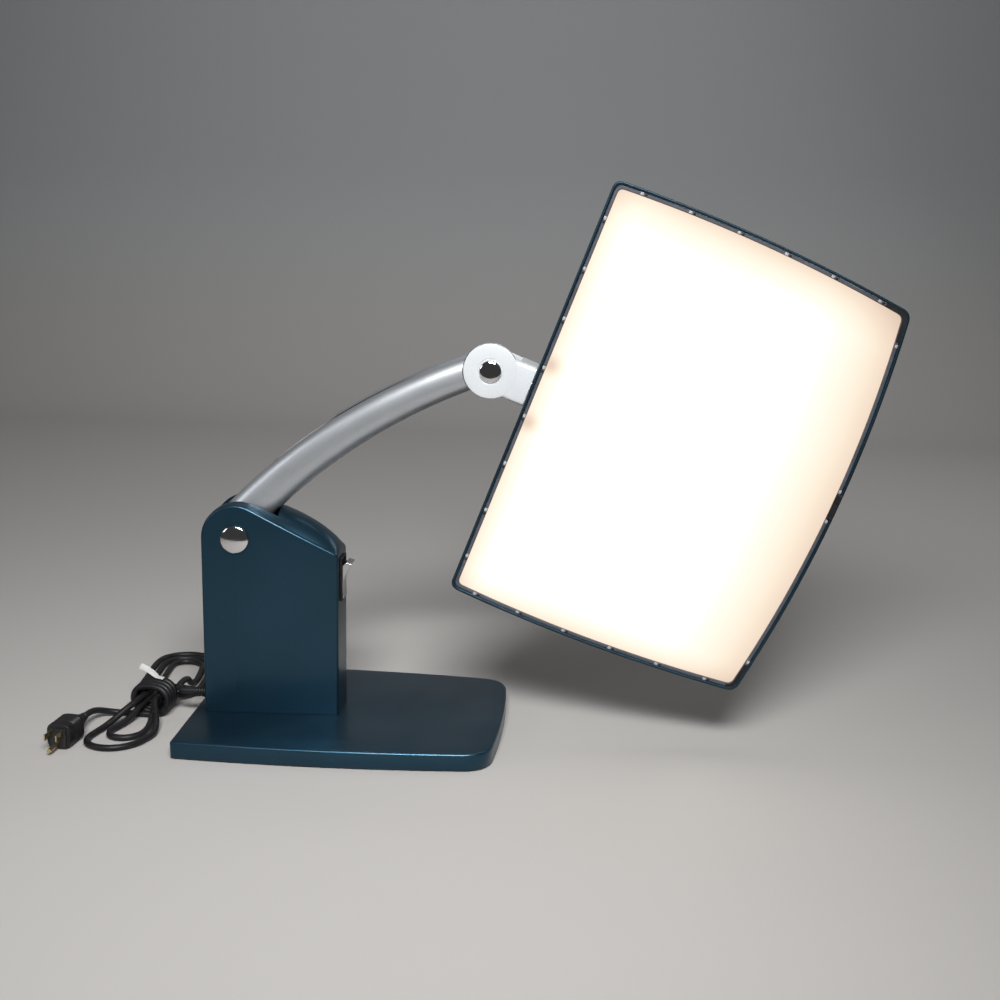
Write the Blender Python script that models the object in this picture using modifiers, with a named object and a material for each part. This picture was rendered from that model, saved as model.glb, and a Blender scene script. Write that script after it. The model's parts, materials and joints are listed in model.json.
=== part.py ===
"""Light therapy lamp: a lit panel on a neck, an arched arm, a column and a flat base.

Metres, +Z up. The column stands at -X, the panel reaches out to +X, and its lit face looks to -Y.
The origin is the centre of the rubber pad's underside.
"""

from math import copysign, cos, pi, radians, sin, sqrt

import bmesh
import bpy
from mathutils import Matrix, Vector
from mathutils.kdtree import KDTree

# Clearances
gap = 0.0003
overrun = 0.004

# Base plate
base_length = 0.3314
base_rear_width = 0.237
base_front_width = 0.222
base_side_bow = 0.0072
base_front_bow = 0.006
base_rear_corner = 0.004
base_front_corner = 0.027
base_top_z = 0.0195
base_rim_z = 0.0015
base_wall = 0.003
base_edge_fillet = 0.003
pad_thickness = 0.0022
pad_inset = 0.026
pan_thickness = 0.0012
weight_length = 0.262
weight_width = 0.166
weight_thickness = 0.009
base_boss_radius = 0.005
base_boss_inset = 0.018
screw_radius = 0.0014
screw_head_radius = 0.0025
screw_head_height = 0.0013
base_screw_reach = 0.009

# Arm's two joints
pivot_x = -0.1162
pivot_z = 0.2116
elbow_x = 0.1471
elbow_z = 0.3939

# Column
column_front_x = -0.0092
column_top_radius = 0.0363
column_half_width = 0.033
column_front_taper = 0.0085
column_slope = radians(27.5)
column_fillet = 0.0025
column_front_corner = 0.007
column_crown = 0.0145
crown_lead = 0.12
crown_skew = 0.70
column_wall = 0.003
slot_front_x = -0.0725
slot_rear_drop = 0.0075
slot_clearance = 0.0016
column_boss_radius = 0.0036
column_boss_length = 0.016
column_boss_inset = 0.0018
column_boss_z = 0.118
column_screw_seat = 0.010
column_screw_reach = 0.020

# Column's frame, ballast and axle
frame_plate = 0.002
frame_cheek = 0.0022
frame_radius = 0.018
ballast_length = 0.046
ballast_width = 0.038
ballast_height = 0.150
ballast_front_x = -0.044
ballast_edge = 0.002
axle_radius = 0.005
pivot_washer_radius = 0.013
pivot_washer_thickness = 0.0014
column_cap_radius = 0.0151
column_cap_rise = 0.0042

# Switch in the column's front
switch_centre_z = 0.1666
switch_height = 0.0466
switch_width = 0.0250
bezel_thickness = 0.002
bezel_frame = 0.0019
bezel_lip = 0.0014
switch_depth = 0.026
rocker_well_depth = 0.013
rocker_clearance = 0.0005
rocker_axis_depth = 0.0035
rocker_tilt = radians(13)
rocker_half_height = 0.0195
rocker_lip = 0.0093
rocker_dish = 0.0045
rocker_dish_power = 1.5
rocker_root_width = 0.005
rocker_root_depth = 0.006

# Strain relief and mains cord
cord_exit_z = 0.030
cord_diameter = 0.007
cord_lift = 0.0002
relief_length = 0.0215
relief_neck_radius = 0.0056
relief_root_radius = 0.0074
relief_root_length = 0.003
relief_tip_radius = 0.0046
relief_flange_radius = 0.0085
relief_flange = 0.002

# Hank: its waist, and the loops on both sides of it
hank_x = -0.221
hank_y = 0.006
hank_turn = radians(87)
hank_far_bend = 0.625
hank_front_bend = 0.290
hank_entry = 0.109
waist_half = 0.014
waist_side = 0.008
waist_low_z = 0.0147
waist_high_z = 0.0237
lobe_drop_run = 0.052
far_reaches = (0.160, 0.172, 0.187)
far_widths = (0.0195, 0.0300, 0.0395)
front_reaches = (0.086, 0.116)
front_widths = (0.0175, 0.0295)
wrap_pitch = 0.00775
wrap_half_width = 0.0205
wrap_half_height = 0.0158
wrap_start_side = 0.026
wrap_start_z = 0.008
wrap_exit_side = 0.018
wrap_exit_slack = 0.001
drop_run_shares = (0.26, 0.50, 0.75, 1.00)
drop_width_shares = (0.12, 0.50, 0.83, 1.00)
drop_height_shares = (0.10, 0.43, 0.83, 1.00)

# Free stretches: the cord's route from the strain relief to the hank, and from there to the plug
lead_points = (
    (-0.1877, 0.0011, 0.0301),
    (-0.1925, 0.0052, 0.0304),
    (-0.1945, 0.0118, 0.0306),
    (-0.1948, 0.0200, 0.0304),
    (-0.1949, 0.0300, 0.0296),
    (-0.1950, 0.0400, 0.0280),
    (-0.1953, 0.0490, 0.0250),
    (-0.1980, 0.0600, 0.0195),
    (-0.2005, 0.0720, 0.0120),
    (-0.2025, 0.0880, 0.0055),
)
tail_points = (
    (-0.2620, -0.0098, 0.0046),
    (-0.2700, -0.0148, 0.0076),
    (-0.2758, -0.0235, 0.0112),
)

# Twist tie over the waist: its route along, across and up from the waist's middle
tie_width = 0.007
tie_thickness = 0.0014
tie_lift = 0.0010
tie_slant = 0.006
tie_first_turn = radians(112)
tie_last_turn = radians(95)
tie_end_along = 0.012
tie_end_across = 0.024
tie_end_rise = 0.007
tie_end_lean = radians(55)

# Plug
plug_x = -0.2800
plug_y = -0.0490
plug_turn = radians(6)
boot_length = 0.024
boot_tip_radius = 0.0046
boot_root_radius = 0.0078
plug_length = 0.034
plug_half_width = 0.0130
plug_half_height = 0.0132
plug_edge = 0.003
blade_spacing = 0.0127
blade_length = 0.017
blade_width = 0.0063
blade_thickness = 0.0015
ground_length = 0.021
ground_radius = 0.0024
ground_offset = 0.0119
blade_plate = 0.0012
blade_plate_margin = 0.0025

# Arm
arm_radius = 0.6335
arm_root_rise = 0.0116
arm_elbow_rise = 0.005
arm_root_depth = 0.0455
arm_elbow_depth = 0.0362
arm_root_width = 0.040
arm_elbow_width = 0.037
arm_section_power = 2.4
arm_wall = 0.002
arm_start = 0.016
drum_radius = 0.031
drum_clearance = 0.0006
core_depth = 0.022
core_width = 0.018
rib_length = 0.004
rib_count = 3

# Elbow, fork and neck
knuckle_radius = 0.022
knuckle_width = 0.024
elbow_washer_radius = 0.012
elbow_washer_thickness = 0.0009
fork_radius = 0.028
fork_far_radius = 0.0228
fork_width = 0.040
fork_edge = 0.0012
fork_arm_clearance = 0.0008
fork_knuckle_clearance = 0.0025
neck_depth = 0.042
neck_edge = 0.003
elbow_axle_radius = 0.004
elbow_cap_radius = 0.0114
elbow_cap_rise = 0.0036
neck_droop = radians(20.65)

# Swivel inside the head
swivel_radius = 0.008
swivel_bore = 0.0045
swivel_socket = 0.012
swivel_reach = 0.017
swivel_clearance = 0.0005
swivel_nut_radius = 0.0135
swivel_nut_height = 0.006
bracket_thickness = 0.003
bracket_length = 0.088
bracket_half_width = 0.017
bracket_ear = 0.018
head_screw_spread = 0.062
head_screw_inset = 0.011
head_screw_reach = 0.009
head_boss_radius = 0.005

# Head
head_left = 0.0436
head_straight = 0.314
head_left_height = 0.4440
head_right_height = 0.4216
head_side_bow = 0.0070
head_right_bow = 0.016
head_corner = 0.0095
head_depth = 0.070
head_wall = 0.003
head_draft = 0.002
head_even_depth = 0.012
head_back_fillet = 0.014
diffuser_thickness = 0.0025
diffuser_recess = 0.0016
frame_recess = 0.0004
frame_width = 0.004
frame_ledge = 0.0035
frame_ledge_depth = 0.003
latch_length = 0.027
latch_width = 0.004
latch_rise = 0.0012
latch_shift = 0.007

# Lamps and reflector inside the head
lamp_count = 3
lamp_left_space = 0.0098
lamp_right_space = 0.025
lamp_tube_radius = 0.00875
lamp_tube_spacing = 0.022
lamp_length = 0.403
lamp_base_length = 0.030
lamp_base_width = 0.044
lamp_base_depth = 0.024
lamp_base_edge = 0.002
lamp_y = 0.003
lamp_shift = 0.002
socket_length = 0.018
socket_floor = 0.005
socket_wall = 0.003
socket_clearance = 0.0004
tray_thickness = 0.0008
tray_clearance = 0.001
tray_floor_y = 0.020
tray_front_y = -0.006
tray_run = 0.003
tray_left = 0.036
tray_boss_radius = 0.004
tray_boss_inset = 0.030
clip_strip = 0.001
clip_length = 0.010
clip_arm = 0.0014
clip_reach = 0.022
clip_place_share = 0.36

# Numbers of steps round a curve
round_steps = 24
small_round_steps = 12
corner_steps = 4
edge_steps = 6
slope_steps = 5
section_points = 20
arm_steps = 12
fillet_steps = 3
lamp_bend_steps = 8
turn_points = 3
wrap_points = 12
wrap_turns = 3.75
wrap_power = 0.73
cord_steps = 2
gap_steps = 10
dome_shares = (0.35, 0.65, 0.88)
tie_steps = 6
plug_sides = 16
plug_power = 4


def clear_scene():
    for obj in list(bpy.data.objects):
        bpy.data.objects.remove(obj, do_unlink=True)


def new_collection(name):
    made = bpy.data.collections.new(name)
    bpy.context.scene.collection.children.link(made)
    return made


clear_scene()
lamp = new_collection("light_therapy_lamp")
cutters = new_collection("cutters")


def empty(name, location, turn_y, turn_z=0):
    """A frame: pieces parented to it are drawn from a joint's axis, or from a plug's cord end."""
    made = bpy.data.objects.new(name, None)
    made.location = location
    made.rotation_euler = (0, turn_y, turn_z)
    lamp.objects.link(made)
    return made


rocker_x = column_front_x + gap + bezel_thickness - rocker_axis_depth
pivot_frame = empty("arm_pivot", (pivot_x, 0, pivot_z), 0)
elbow_frame = empty("elbow_pivot", (elbow_x, 0, elbow_z), neck_droop)
rocker_frame = empty("rocker_pivot", (rocker_x, 0, switch_centre_z), rocker_tilt)
plug_frame = empty("plug_place", (plug_x, plug_y, plug_half_height + gap), 0, pi + pi / 2 - plug_turn)


# Materials


def material(name, colour, roughness, metallic, glow=0):
    made = bpy.data.materials.new(name)
    made.use_nodes = True
    shader = made.node_tree.nodes["Principled BSDF"]
    shader.inputs["Base Color"].default_value = (*colour, 1)
    shader.inputs["Roughness"].default_value = roughness
    shader.inputs["Metallic"].default_value = metallic
    shader.inputs["Emission Color"].default_value = (*colour, 1)
    shader.inputs["Emission Strength"].default_value = glow
    made.diffuse_color = (*colour, 1)
    return made


blue_paint = material("blue_metallic_paint", (0.022, 0.060, 0.090), 0.35, 0.6)
silver_paint = material("silver_satin_paint", (0.55, 0.55, 0.54), 0.35, 0.8)
pale_silver = material("pale_silver_paint", (0.72, 0.75, 0.76), 0.40, 0.4)
chrome = material("chrome", (0.75, 0.75, 0.77), 0.06, 1.0)
dark_cast = material("dark_cast_metal", (0.05, 0.055, 0.06), 0.55, 0.7)
steel = material("zinc_plated_steel", (0.55, 0.56, 0.58), 0.35, 0.9)
iron = material("cast_iron", (0.12, 0.12, 0.12), 0.7, 0.5)
black_rubber = material("black_rubber", (0.012, 0.012, 0.012), 0.7, 0)
black_plastic = material("black_plastic", (0.015, 0.015, 0.016), 0.45, 0)
white_plastic = material("white_plastic", (0.80, 0.80, 0.78), 0.5, 0)
frame_grey = material("frame_grey_plastic", (0.16, 0.22, 0.28), 0.5, 0)
opal = material("opal_diffuser", (1.0, 0.90, 0.80), 0.4, 0, 2.0)
lamp_glass = material("lamp_glass", (1.0, 0.98, 0.94), 0.3, 0, 4.0)
reflector_white = material("reflector_white", (0.85, 0.85, 0.85), 0.25, 0.2)
brass = material("plug_brass", (0.72, 0.55, 0.25), 0.3, 1.0)
tie_white = material("tie_white", (0.80, 0.80, 0.80), 0.5, 0)


# Modelling helpers


def mesh_object(name, mesh, look, frame=None):
    obj = bpy.data.objects.new(name, mesh)
    obj.data.materials.append(look)
    obj.parent = frame
    lamp.objects.link(obj)
    return obj


def from_bmesh(name, bm, look, frame=None):
    bmesh.ops.recalc_face_normals(bm, faces=bm.faces)
    mesh = bpy.data.meshes.new(name)
    bm.to_mesh(mesh)
    bm.free()
    mesh.shade_smooth()
    mesh.set_sharp_from_angle(angle=radians(32))
    return mesh_object(name, mesh, look, frame)


def soften(obj, width, segments=2):
    bevel = obj.modifiers.new("round_edges", "BEVEL")
    bevel.width = width
    bevel.segments = segments
    bevel.limit_method = "ANGLE"
    return obj


def box(name, low, high, look, frame=None, edge=0):
    """A box between two corners, with its edges rounded when edge is given."""
    low, high = Vector(low), Vector(high)
    bm = bmesh.new()
    bmesh.ops.create_cube(bm, size=1, matrix=Matrix.LocRotScale((low + high) / 2, None, high - low))
    obj = from_bmesh(name, bm, look, frame)
    return soften(obj, edge) if edge else obj


def rod(name, radius, start, end, look, frame=None, steps=round_steps):
    """A cylinder from start to end."""
    start, end = Vector(start), Vector(end)
    along = end - start
    turn = along.to_track_quat("Z", "Y").to_matrix().to_4x4()
    bm = bmesh.new()
    bmesh.ops.create_cone(
        bm,
        cap_ends=True,
        segments=steps,
        radius1=radius,
        radius2=radius,
        depth=along.length,
        matrix=Matrix.Translation((start + end) / 2) @ turn,
    )
    return from_bmesh(name, bm, look, frame)


def loft(name, rings, look, frame=None, flat=True):
    """A closed solid through rings of equally many points, with its first and last ring closed. When
    its faces aren't flat they are split in triangles."""
    bm = bmesh.new()
    rows = [[bm.verts.new(point) for point in ring] for ring in rings]
    count = len(rows[0])
    for low, high in zip(rows, rows[1:]):
        for i in range(count):
            j = (i + 1) % count
            bm.faces.new((low[i], low[j], high[j], high[i]))
    bm.faces.new(rows[0][::-1])
    bm.faces.new(rows[-1])
    if not flat:
        bmesh.ops.triangulate(bm, faces=bm.faces)
    return from_bmesh(name, bm, look, frame)


def hoop(name, rings, look, frame=None):
    """A closed frame whose section runs through the rings and back to the first."""
    bm = bmesh.new()
    rows = [[bm.verts.new(point) for point in ring] for ring in rings]
    for k, low in enumerate(rows):
        high = rows[(k + 1) % len(rows)]
        for i in range(len(low)):
            j = (i + 1) % len(low)
            bm.faces.new((low[i], low[j], high[j], high[i]))
    bmesh.ops.triangulate(bm, faces=bm.faces)
    return from_bmesh(name, bm, look, frame)


def turned(name, profile, look, place, towards, frame=None, steps=round_steps):
    """A profile of (radius, height) pairs, top to bottom, turned about the line from place along
    towards."""
    mesh = bpy.data.meshes.new(name)
    edges = [(i, i + 1) for i in range(len(profile) - 1)]
    mesh.from_pydata([(radius, 0, height) for radius, height in profile], edges, [])
    obj = mesh_object(name, mesh, look, frame)
    obj.location = place
    obj.rotation_euler = Vector(towards).to_track_quat("Z", "Y").to_euler()
    screw = obj.modifiers.new("turn", "SCREW")
    screw.axis = "Z"
    screw.steps = steps
    screw.render_steps = steps
    screw.use_merge_vertices = True
    screw.merge_threshold = 0.00001
    screw.use_smooth_shade = True
    return obj


def as_cutter(tool):
    for used in list(tool.users_collection):
        used.objects.unlink(tool)
    cutters.objects.link(tool)
    tool.hide_render = True
    tool.display_type = "WIRE"


def combine(target, operation, tools):
    for tool in tools:
        modifier = target.modifiers.new(operation.lower() + "_" + tool.name, "BOOLEAN")
        modifier.operation = operation
        modifier.solver = "EXACT"
        modifier.object = tool
        as_cutter(tool)
    return target


def cut(target, *tools):
    return combine(target, "DIFFERENCE", tools)


def join(target, *tools):
    return combine(target, "UNION", tools)


def washer(name, outer, inner, start, end, look, frame=None, steps=round_steps):
    """A rod with a bore through it."""
    start, end = Vector(start), Vector(end)
    beyond = (end - start).normalized() * overrun
    made = rod(name, outer, start, end, look, frame, steps)
    return cut(made, rod(name + "_bore", inner, start - beyond, end + beyond, look, frame))


def dome(name, radius, rise, look, place, towards, frame=None):
    """A shallow cap whose flat back is at place and whose top looks along towards."""
    rim = rise * 0.35
    profile = [(0, rise)]
    for share in dome_shares:
        profile.append((radius * share, rim + (rise - rim) * sqrt(1 - share**2)))
    profile += [(radius, rim), (radius, 0), (0, 0)]
    return turned(name, profile, look, place, towards, frame)


def screw(name, place, towards, reach, frame=None):
    """A round-headed screw: the underside of its head is at place and its shank runs along towards."""
    profile = [
        (0, reach),
        (screw_radius * 0.4, reach),
        (screw_radius, reach - screw_radius),
        (screw_radius, 0),
        (screw_head_radius, 0),
        (screw_head_radius, -screw_head_height / 2),
        (screw_head_radius * 0.7, -screw_head_height),
        (0, -screw_head_height),
    ]
    return turned(name, profile, steel, place, towards, frame, small_round_steps)


def blend(first, last, share):
    return first + (last - first) * share


def bowed_outline(corners, bows, radii):
    """A closed outline of bowed edges between corners, each corner rounded. It has the same number of
    points whatever the sizes are, so outlines of one kind can be lofted."""
    centre = sum(corners, Vector((0, 0))) / len(corners)

    def length(i):
        return (corners[(i + 1) % len(corners)] - corners[i]).length

    def edge(i, share):
        first, last = corners[i], corners[(i + 1) % len(corners)]
        along = last - first
        out = Vector((along.y, -along.x)).normalized()
        if out.dot((first + last) / 2 - centre) < 0:
            out = -out
        return first + along * share + out * bows[i] * 4 * share * (1 - share)

    points = []
    for i, corner in enumerate(corners):
        before = (i - 1) % len(corners)
        start = edge(before, 1 - radii[i] / length(before))
        end = edge(i, radii[i] / length(i))
        for step in range(corner_steps + 1):
            s = step / corner_steps
            points.append(start * (1 - s) ** 2 + corner * 2 * s * (1 - s) + end * s * s)
        first_share = radii[i] / length(i)
        last_share = 1 - radii[(i + 1) % len(corners)] / length(i)
        for step in range(1, edge_steps):
            points.append(edge(i, blend(first_share, last_share, step / edge_steps)))
    return points


def moved_corners(corners, insets):
    """The corners of the outline whose straight edges have moved inwards, each by its inset."""
    centre = sum(corners, Vector((0, 0))) / len(corners)
    lines = []
    for i, first in enumerate(corners):
        along = (corners[(i + 1) % len(corners)] - first).normalized()
        inward = Vector((-along.y, along.x))
        if inward.dot(centre - first) < 0:
            inward = -inward
        lines.append((first + inward * insets[i], along))
    moved = []
    for i, (other, across) in enumerate(lines):
        point, along = lines[i - 1]
        delta = other - point
        run = (delta.x * across.y - delta.y * across.x) / (along.x * across.y - along.y * across.x)
        moved.append(point + along * run)
    return moved


def fillet_stations(radius):
    """(inset, rise) pairs of a quarter round."""
    turns = [pi / 2 * step / fillet_steps for step in range(fillet_steps + 1)]
    return [(radius * (1 - cos(turn)), radius * sin(turn)) for turn in turns]


# Base plate


def base_ring(inset, z):
    half = base_length / 2
    front = half - base_front_bow
    corners = [
        Vector((-half, -base_rear_width / 2)),
        Vector((front, -base_front_width / 2)),
        Vector((front, base_front_width / 2)),
        Vector((-half, base_rear_width / 2)),
    ]
    bows = [base_side_bow, base_front_bow, base_side_bow, 0]
    radii = [base_rear_corner, base_front_corner, base_front_corner, base_rear_corner]
    radii = [max(radius - inset, base_rear_corner / 4) for radius in radii]
    outline = bowed_outline(moved_corners(corners, [inset] * len(corners)), bows, radii)
    return [(point.x, point.y, z) for point in outline]


pan_z = pad_thickness + gap
pan_top_z = pan_z + pan_thickness
boss_x = base_length / 2 - base_boss_inset
rear_boss_y = base_rear_width / 2 - base_boss_inset
front_boss_y = base_front_width / 2 - base_boss_inset
base_screw_places = [(-boss_x, -rear_boss_y), (-boss_x, rear_boss_y), (boss_x, -front_boss_y), (boss_x, front_boss_y)]


def make_base_cover():
    straight_top_z = base_top_z - base_edge_fillet
    rings = [base_ring(0, base_rim_z)]
    rings += [base_ring(inset, straight_top_z + rise) for inset, rise in fillet_stations(base_edge_fillet)]
    cover = loft("base_cover", rings, blue_paint)
    ceiling_z = base_top_z - base_wall
    low, high = base_ring(base_wall, base_rim_z - overrun), base_ring(base_wall, ceiling_z)
    cut(cover, loft("base_hollow", [low, high], blue_paint))
    for number, (x, y) in enumerate(base_screw_places):
        foot_z = pan_top_z + gap
        boss_ends = [(x, y, foot_z), (x, y, ceiling_z + base_wall / 2)]
        hole_ends = [(x, y, foot_z - overrun), (x, y, pan_z + base_screw_reach + gap)]
        join(cover, rod(f"base_boss_{number}", base_boss_radius, *boss_ends, blue_paint, None, small_round_steps))
        hole_radius = screw_radius + gap
        cut(cover, rod(f"base_pilot_{number}", hole_radius, *hole_ends, blue_paint, None, small_round_steps))


def make_base():
    make_base_cover()
    pan_inset = base_wall + gap
    pan = loft("base_pan", [base_ring(pan_inset, pan_z), base_ring(pan_inset, pan_top_z)], steel)
    for number, (x, y) in enumerate(base_screw_places):
        ends = [(x, y, pan_z - overrun), (x, y, pan_top_z + overrun)]
        cut(pan, rod(f"pan_hole_{number}", screw_radius + gap, *ends, steel, None, small_round_steps))
        screw(f"base_screw_{number + 1}", (x, y, pan_z - gap), (0, 0, 1), base_screw_reach)
    loft("base_pad", [base_ring(pad_inset, 0), base_ring(pad_inset, pad_thickness)], black_rubber)
    weight_z = pan_top_z + gap
    low = (-weight_length / 2, -weight_width / 2, weight_z)
    box("base_weight", low, (weight_length / 2, weight_width / 2, weight_z + weight_thickness), iron)


# Column

column_bottom_z = base_top_z + gap
slope_out = Vector((sin(column_slope), cos(column_slope)))
slope_reach = Vector((pivot_x, pivot_z)).dot(slope_out) + column_top_radius
slot_half_width = arm_root_width / 2 + slot_clearance
column_boss_y = column_half_width - column_wall - column_boss_inset


def column_half(x):
    """The column's half width at x: even behind the pivot, drawn in towards the front."""
    share = max(0, (x - pivot_x) / (column_front_x - pivot_x))
    return column_half_width - column_front_taper * share**2


def crown_share(share):
    """How much of the crown's lift is there, from the front corner to the round top."""
    return sin(pi * blend(crown_lead, 1 - crown_lead, share**crown_skew))


def column_profile(inset, bottom_z):
    """The side outline as (x, z, crown share) points, moved inwards by inset."""
    corner_x = column_front_x - column_front_corner
    corner_z = (slope_reach - column_front_corner - corner_x * slope_out.x) / slope_out.y
    radius = max(column_front_corner - inset, column_front_corner / 8)
    reach = column_front_corner - inset - radius
    slope_angle = pi / 2 - column_slope
    corner = Vector((corner_x + reach, corner_z + reach * (1 - slope_out.x) / slope_out.y))
    points = [(corner.x + radius, bottom_z, 0)]
    for step in range(corner_steps):
        share = step / (corner_steps - 1)
        turn = slope_angle * share
        x, z = corner.x + radius * cos(turn), corner.y + radius * sin(turn)
        points.append((x, z, crown_share(0) * share))
    start = corner + slope_out * radius
    end = Vector((pivot_x, pivot_z)) + slope_out * (column_top_radius - inset)
    for step in range(1, slope_steps):
        share = step / slope_steps
        point = start.lerp(end, share)
        points.append((point.x, point.y, crown_share(share)))
    for step in range(edge_steps + 1):
        share = step / edge_steps
        turn = blend(slope_angle, pi, share)
        reach = column_top_radius - inset
        x, z = pivot_x + reach * cos(turn), pivot_z + reach * sin(turn)
        points.append((x, z, crown_share(0) * (1 - share) ** 2))
    points.append((pivot_x - column_top_radius + inset, bottom_z, 0))
    return points


def column_hull(name, inset, bottom_z):
    """The column's solid, moved inwards by inset: its sides filleted, its top crowned between them."""
    fillet = max(column_fillet - inset, column_fillet / 4)
    around = column_profile(inset + fillet, bottom_z)
    middle = Vector(((pivot_x + column_front_x) / 2, (bottom_z + pivot_z) / 2))
    half = []
    for shrink in (0.3, 0.7):
        ring = []
        for x, z, _ in around:
            point = middle.lerp(Vector((x, z)), shrink)
            ring.append((point.x, inset - column_half(point.x), point.y))
        half.append(ring)
    for rise, narrowing in fillet_stations(fillet):
        profile = column_profile(inset + fillet - narrowing, bottom_z)
        half.append([(x, inset + rise - column_half(x), z) for x, z, _ in profile])
    for share in (0.93, 0.8, 0.6, 0.3, 0):
        ring = []
        for x, z, crown in column_profile(inset, bottom_z):
            flat = column_half(x) - inset - fillet
            ring.append((x, -share * flat, z + column_crown * crown * (1 - share**4)))
        half.append(ring)
    mirrored = [[(x, -y, z) for x, y, z in ring] for ring in half[-2::-1]]
    return loft(name, half + mirrored, blue_paint, flat=False)


def column_shell(name, in_front):
    """One of the column's two shells, parted in the plane of the pivot."""
    shell = column_hull(name, 0, column_bottom_z)
    reach = column_top_radius + pivot_z
    side = column_half_width + overrun
    part_x = pivot_x + gap / 2 if in_front else pivot_x - gap / 2
    low_x, high_x = (pivot_x - reach, part_x) if in_front else (part_x, pivot_x + reach)
    cut(shell, box(name + "_parting", (low_x, -side, -reach), (high_x, side, reach + reach), blue_paint))
    cut(shell, column_hull(name + "_hollow", column_wall, column_bottom_z - overrun))
    low = (pivot_x - reach, -slot_half_width, pivot_z + slot_rear_drop)
    cut(shell, box(name + "_slot", low, (slot_front_x, slot_half_width, pivot_z + reach), blue_paint))
    for number, y in enumerate((-column_boss_y, column_boss_y)):
        rear_x = pivot_x - column_top_radius
        ends = [(part_x + gap, y, column_boss_z), (pivot_x + column_boss_length, y, column_boss_z)]
        if not in_front:
            ends = [(rear_x + column_wall / 2, y, column_boss_z), (part_x - gap, y, column_boss_z)]
        join(shell, rod(f"{name}_boss_{number}", column_boss_radius, *ends, blue_paint, None, small_round_steps))
        seat_x = rear_x + column_screw_seat
        ends = [(seat_x - overrun, y, column_boss_z), (seat_x + column_screw_reach + gap, y, column_boss_z)]
        cut(shell, rod(f"{name}_pilot_{number}", screw_radius + gap, *ends, blue_paint, None, small_round_steps))
        if not in_front:
            ends = [(rear_x - overrun, y, column_boss_z), (seat_x, y, column_boss_z)]
            cut(shell, rod(f"{name}_well_{number}", screw_head_radius + gap, *ends, blue_paint, None, small_round_steps))
    ends = [(pivot_x, -side, pivot_z), (pivot_x, side, pivot_z)]
    cut(shell, rod(name + "_axle_hole", axle_radius + gap, *ends, blue_paint))
    return shell


def make_column():
    front = column_shell("column_front_shell", True)
    body_half = switch_width / 2 - bezel_lip
    body_rise = switch_height / 2 - bezel_lip
    low = (column_front_x - column_wall - overrun, -body_half - gap, switch_centre_z - body_rise - gap)
    high = (column_front_x + overrun, body_half + gap, switch_centre_z + body_rise + gap)
    cut(front, box("switch_hole", low, high, blue_paint))
    rear = column_shell("column_rear_shell", False)
    rear_x = pivot_x - column_top_radius
    ends = [(rear_x - overrun, 0, cord_exit_z), (rear_x + overrun, 0, cord_exit_z)]
    cut(rear, rod("cord_hole", relief_neck_radius + gap, *ends, blue_paint))
    for number, y in enumerate((-column_boss_y, column_boss_y)):
        place = (rear_x + column_screw_seat - gap, y, column_boss_z)
        screw(f"column_screw_{number + 1}", place, (1, 0, 0), column_screw_reach)


def make_column_inside():
    washer_outer_y = drum_half_width + gap + pivot_washer_thickness
    cheek_y = washer_outer_y + gap
    outer_y = cheek_y + frame_cheek
    outline = [(pivot_x - frame_radius, column_bottom_z), (pivot_x + frame_radius, column_bottom_z)]
    for step in range(round_steps // 2 + 1):
        turn = pi * step / (round_steps // 2)
        outline.append((pivot_x + frame_radius * cos(turn), pivot_z + frame_radius * sin(turn)))
    rings = [[(x, y, z) for x, z in outline] for y in (-outer_y, outer_y)]
    frame = loft("column_frame", rings, steel)
    low = (pivot_x - frame_radius - overrun, -cheek_y, column_bottom_z + frame_plate)
    high = (pivot_x + frame_radius + overrun, cheek_y, pivot_z + frame_radius + overrun)
    cut(frame, box("frame_channel", low, high, steel))
    side = outer_y + overrun
    ends = [(pivot_x, -side, pivot_z), (pivot_x, side, pivot_z)]
    cut(frame, rod("frame_axle_hole", axle_radius + gap, *ends, steel))

    low_z = column_bottom_z
    low = (ballast_front_x - ballast_length, -ballast_width / 2, low_z)
    high = (ballast_front_x, ballast_width / 2, low_z + ballast_height)
    box("ballast_box", low, high, steel, None, ballast_edge)

    rod("arm_axle", axle_radius, (pivot_x, -column_half_width, pivot_z), (pivot_x, column_half_width, pivot_z), steel)
    for side_name, side in (("near", -1), ("far", 1)):
        ends = [(pivot_x, side * (drum_half_width + gap), pivot_z), (pivot_x, side * washer_outer_y, pivot_z)]
        washer("pivot_washer_" + side_name, pivot_washer_radius, axle_radius + gap, *ends, black_plastic)
        place = (pivot_x, side * (column_half_width + gap), pivot_z)
        dome("column_cap_" + side_name, column_cap_radius, column_cap_rise, chrome, place, (0, side, 0))


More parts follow.
